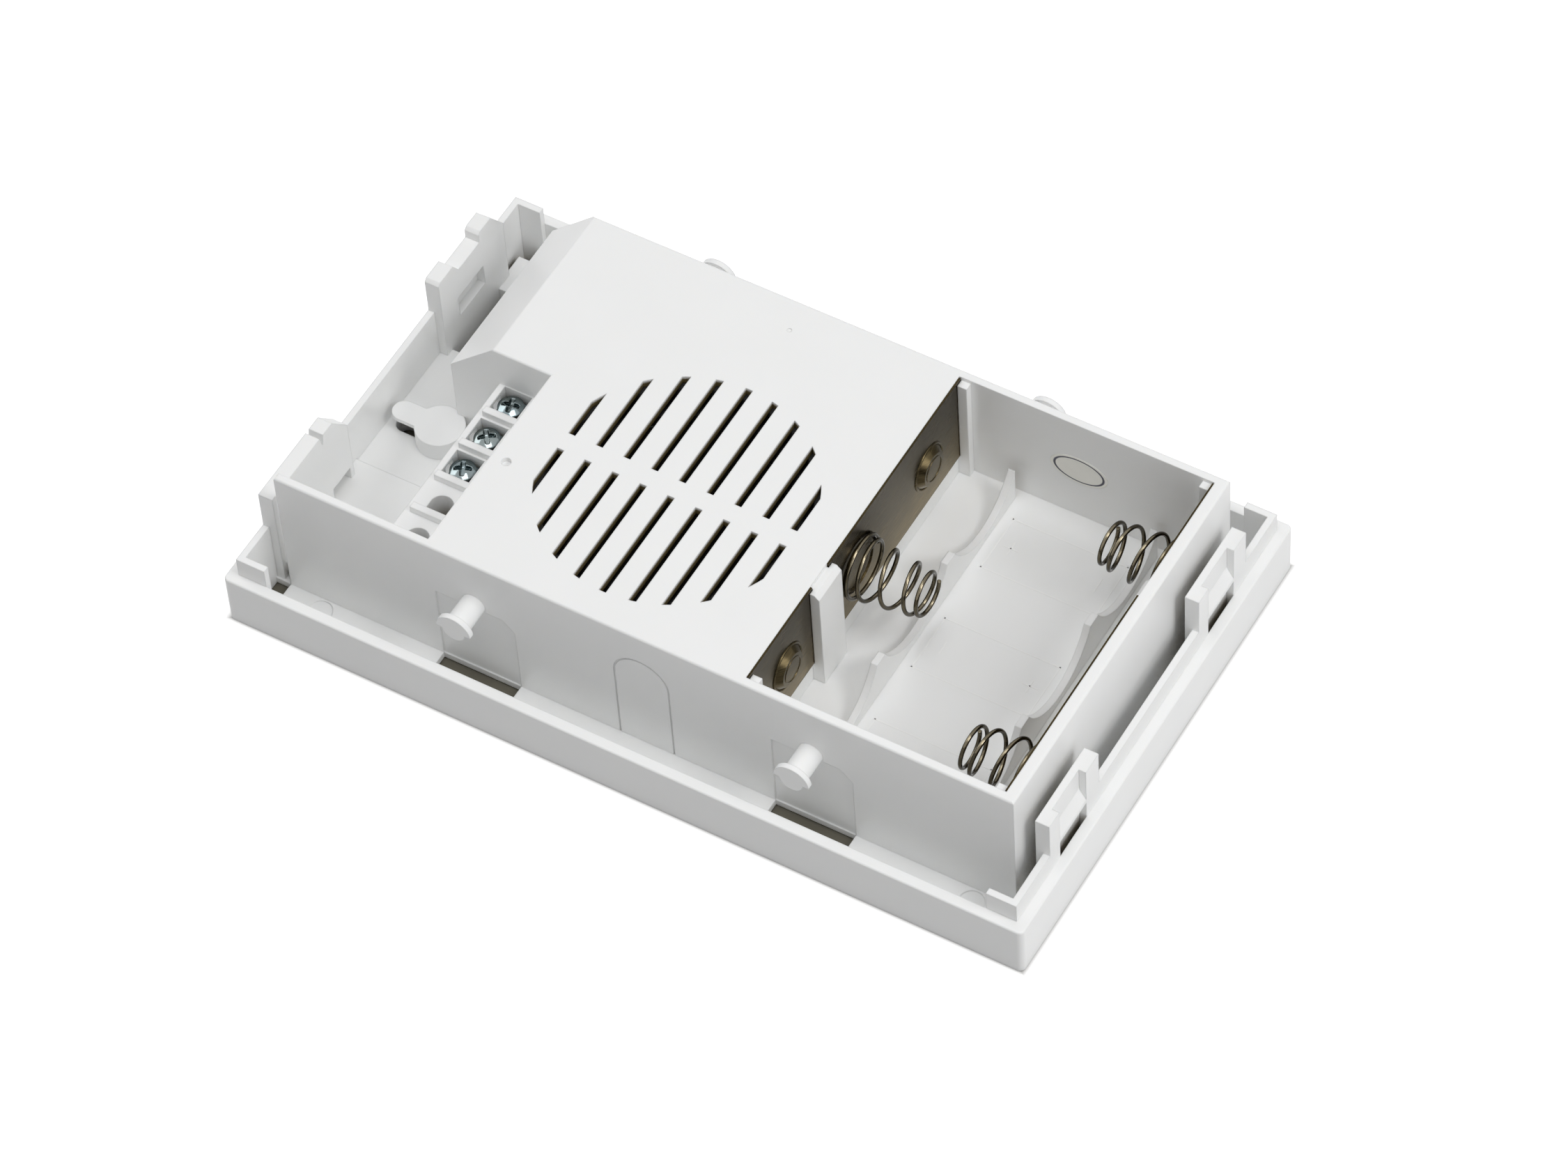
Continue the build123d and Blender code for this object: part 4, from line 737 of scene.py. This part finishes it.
# %% [markdown]
# ## Soft speaker pieces
# Behind the grille sit a foam gasket, a rubber surround, a pressed paper cone and a corrugated
# cloth spider. Each is a turned shape, so one lathe helper makes them all from a profile of
# radius and height. The cone gets faint stiffening rings, the gasket bulges where it is
# squeezed, and the spider has closer waves than the rigid model shows. The cone's edge stops
# short of the surround and the spider starts flat, which leaves the cone room for its stroke.

# %% Lathe helper and speaker pieces
LATHE_SIDES = 128


def lathe(name, profile):
    """A closed ring turned about the speaker's axis from (radius, height) points in mm."""
    work = bmesh.new()
    rings = []
    for step in range(LATHE_SIDES):
        turn = 2 * math.pi * step / LATHE_SIDES
        rings.append(
            [
                work.verts.new(
                    (
                        SPEAKER_X + radius * MM * math.cos(turn),
                        SPEAKER_Y + radius * MM * math.sin(turn),
                        height * MM,
                    )
                )
                for radius, height in profile
            ]
        )
    for step, ring in enumerate(rings):
        following = rings[(step + 1) % LATHE_SIDES]
        for index in range(len(profile)):
            other = (index + 1) % len(profile)
            work.faces.new((ring[index], ring[other], following[other], following[index]))
    bmesh.ops.recalc_face_normals(work, faces=work.faces)
    return as_piece(name, work)


def shell(lower, thickness):
    """A profile closed by the same line, raised by the thickness."""
    return list(lower) + [(radius, height + thickness) for radius, height in reversed(lower)]


def between(first, last, count):
    """Evenly spaced values from first to last."""
    return [first + (last - first) * index / count for index in range(count + 1)]


GASKET_INNER, GASKET_OUTER, GASKET_LOW, GASKET_HIGH = 25.9, 28.5, 29.8, 32.5
GASKET_SWELL = 0.18
bulge = []
for share in between(0.0, 1.0, 10):
    swell = GASKET_SWELL * math.sin(math.pi * share)
    bulge.append((GASKET_OUTER - 0.2 + swell, GASKET_LOW + share * (GASKET_HIGH - GASKET_LOW)))
inner_bulge = [(GASKET_INNER + GASKET_OUTER - radius, height) for radius, height in reversed(bulge)]
gasket = lathe("speaker_gasket_foam", bulge + inner_bulge)

ROLL_LEVEL = 29.5
ROLL_MIDDLE = 22.9
ROLL_HALF_WIDTH = 1.7
ROLL_RISE = 1.0
roll = [(20.2, ROLL_LEVEL), (21.2, ROLL_LEVEL)]
for turn in between(0.0, math.pi, 18)[1:-1]:
    reach = ROLL_MIDDLE - ROLL_HALF_WIDTH * math.cos(turn)
    roll.append((reach, ROLL_LEVEL + ROLL_RISE * math.sin(turn)))
roll += [(24.6, ROLL_LEVEL), (28.5, ROLL_LEVEL)]
surround = lathe("speaker_surround_roll", shell(roll, 0.3))

FOOT_RADIUS, FOOT_LEVEL = 7.2, 23.7
RIM_RADIUS, RIM_LEVEL = 20.2, 29.1
CONE_END = (20.0, 29.0)
STIFFENER_START, STIFFENER_END = 7.6, 19.8
STIFFENER_PITCH = 2.4
STIFFENER_SWELL = 0.05
slope = (RIM_LEVEL - FOOT_LEVEL) / (RIM_RADIUS - FOOT_RADIUS)
cone_line = [(6.7, FOOT_LEVEL), (FOOT_RADIUS, FOOT_LEVEL)]
for radius in between(STIFFENER_START, STIFFENER_END, 60):
    phase = (radius - STIFFENER_START) * 2 * math.pi / STIFFENER_PITCH
    swell = STIFFENER_SWELL * math.cos(phase)
    cone_line.append((radius, FOOT_LEVEL + (radius - FOOT_RADIUS) * slope + swell))
cone_line += [CONE_END]
cone = lathe("speaker_cone_paper", shell(cone_line, 0.4))

SPIDER_LEVEL = 22.8
WAVES_START, WAVES_END = 7.0, 13.0
WAVE_HEIGHT = 0.3
WAVE_PITCH = 1.5
FLAT_START = 1.8
waves = [(6.73, SPIDER_LEVEL)]
for radius in between(WAVES_START, WAVES_END, 72):
    swing = WAVE_HEIGHT * min(1.0, (radius - WAVES_START) / FLAT_START)
    phase = (radius - WAVES_START) * 2 * math.pi / WAVE_PITCH
    waves.append((radius, SPIDER_LEVEL + swing * math.sin(phase)))
waves += [(13.2, SPIDER_LEVEL), (15.6, SPIDER_LEVEL)]
spider = lathe("speaker_spider_cloth", shell(waves, 0.25))

SOFT_PIECES = (
    (gasket, foam, "base", "speaker_gasket", "black_foam"),
    (surround, rubber, "base", "speaker_surround", "speaker_rubber"),
    (cone, cone_paper, "speaker_diaphragm", "speaker_cone", "speaker_paper"),
    (spider, cloth, "base", "speaker_spider", "spider_cloth"),
)
for piece, finish, body, node, slot in SOFT_PIECES:
    dress(piece, finish)
    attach(piece, body)
    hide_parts(node)
    print(piece.name, "vertices", len(piece.data.vertices))

# %% [markdown]
# ## Floor
# The floor is a plain plane. Outside the box it glows, for the camera and reflections only, which
# lifts it to the photograph's white. Under the box it carries painted shade, a dark colour, so that
# the openings down to it come out dark as well.

# %% Floor
FLOOR_SIZE = 6.0
bpy.ops.mesh.primitive_plane_add(size=FLOOR_SIZE, location=(0, 0, -0.0003))
floor = bpy.context.object
floor.name = "studio_floor"
floor_finish, tree, shader = new_finish("studio_floor_white")
shader.inputs["Roughness"].default_value = 0.9
shader.inputs["Specular IOR Level"].default_value = 0.0


def seen_directly(tree):
    """1 for camera, glossy and transmission rays, else 0."""
    path = add_node(tree, "ShaderNodeLightPath")
    total = path.outputs["Is Camera Ray"]
    for other in ("Is Glossy Ray", "Is Transmission Ray"):
        join = add_node(tree, "ShaderNodeMath", operation="MAXIMUM")
        tree.links.new(total, join.inputs[0])
        tree.links.new(path.outputs[other], join.inputs[1])
        total = join.outputs[0]
    return total


HALF_LENGTH = 87.5 * MM
HALF_WIDTH = 53.75 * MM
FLOOR_GLOW = 0.82
GLOW_START = 52.8 * MM
GLOW_FULL = 54.6 * MM
place = add_node(tree, "ShaderNodeNewGeometry")
squeeze = add_node(tree, "ShaderNodeVectorMath", operation="MULTIPLY")
squeeze.inputs[1].default_value = (HALF_WIDTH / HALF_LENGTH, 1.0, 0.0)
tree.links.new(place.outputs["Position"], squeeze.inputs[0])
apart = add_node(tree, "ShaderNodeSeparateXYZ")
tree.links.new(squeeze.outputs[0], apart.inputs[0])
reach = None
for axis in ("X", "Y"):
    size = add_node(tree, "ShaderNodeMath", operation="ABSOLUTE")
    tree.links.new(apart.outputs[axis], size.inputs[0])
    if reach is None:
        reach = size.outputs[0]
        continue
    larger = add_node(tree, "ShaderNodeMath", operation="MAXIMUM")
    tree.links.new(reach, larger.inputs[0])
    tree.links.new(size.outputs[0], larger.inputs[1])
    reach = larger.outputs[0]
outside = add_node(tree, "ShaderNodeMapRange", interpolation_type="SMOOTHSTEP")
outside.inputs["From Min"].default_value = GLOW_START
outside.inputs["From Max"].default_value = GLOW_FULL
outside.inputs["To Max"].default_value = FLOOR_GLOW
tree.links.new(reach, outside.inputs["Value"])
glow = add_node(tree, "ShaderNodeMath", operation="MULTIPLY")
tree.links.new(outside.outputs["Result"], glow.inputs[1])
tree.links.new(seen_directly(tree), glow.inputs[0])
shader.inputs["Emission Color"].default_value = (1, 1, 1, 1)
tree.links.new(glow.outputs[0], shader.inputs["Emission Strength"])
# Painted shade: the floor's colour is dark under the box and plain grey outside it.
painted_shade_under_box = ramp(
    tree, outside.outputs["Result"], ((0.0, (0.16, 0.15, 0.12)), (FLOOR_GLOW, (0.50, 0.50, 0.50)))
)
tree.links.new(painted_shade_under_box, shader.inputs["Base Color"])
floor.data.materials.append(floor_finish)
print("floor", floor.name)

# %% [markdown]
# ## World and lamps
# A studio's white walls fill the shadows, but only weakly, while camera and reflections see them
# at full strength. Four soft lamps do the rest: one above, two from the right, one from the left.
# None stands in front, because the box's front wall is dim in the photograph.

# %% World and lamps
WORLD_FILL = 0.34
world = bpy.data.worlds.new("studio_air")
scene.world = world
world.use_nodes = True
tree = world.node_tree
air = tree.nodes["Background"]
strength = add_node(tree, "ShaderNodeMapRange")
strength.inputs["To Min"].default_value = WORLD_FILL
strength.inputs["To Max"].default_value = 1.0
tree.links.new(seen_directly(tree), strength.inputs["Value"])
tree.links.new(strength.outputs["Result"], air.inputs["Strength"])
air.inputs["Color"].default_value = (1, 1, 1, 1)


def soft_lamp(name, place, target, size, power):
    """A square area lamp that looks at a point."""
    data = bpy.data.lights.new(name, "AREA")
    data.shape = "SQUARE"
    data.size = size
    data.energy = power
    lamp = bpy.data.objects.new(name, data)
    scene.collection.objects.link(lamp)
    lamp.location = place
    aim = Vector(target) - Vector(place)
    lamp.rotation_mode = "QUATERNION"
    lamp.rotation_quaternion = aim.to_track_quat("-Z", "Y")
    return lamp


LIT_POINT = (0, 0, 0.02)
soft_lamp("key_right", (0.80, -0.03, 0.80), LIT_POINT, 0.32, 2.9)
soft_lamp("fill_left", (-0.85, 0.08, 0.72), LIT_POINT, 0.6, 2.3)
soft_lamp("main_above", (0.08, -0.07, 1.15), LIT_POINT, 0.5, 3.4)
soft_lamp("low_right", (1.10, -0.05, 0.38), LIT_POINT, 0.5, 1.8)
print("lamps", [light.name for light in bpy.data.lights])

# %% [markdown]
# ## Camera
# The camera's place, turn and lens were solved from the box's straight edges in the photograph.

# %% Camera
PHOTO_WIDTH, PHOTO_HEIGHT = 2251, 1652
camera_data = bpy.data.cameras.new("photo_camera")
camera_data.sensor_width = 36.0
camera_data.lens = 158.64
camera_data.clip_start = 0.05
camera_data.clip_end = 20.0
camera = bpy.data.objects.new("photo_camera", camera_data)
scene.collection.objects.link(camera)
camera.location = (0.450493, -0.670789, 1.059463)
camera.rotation_mode = "QUATERNION"
camera.rotation_quaternion = Quaternion((0.916605, 0.303538, 0.104297, 0.238376))
scene.camera = camera
print("camera aspect", round(PHOTO_WIDTH / PHOTO_HEIGHT, 3))
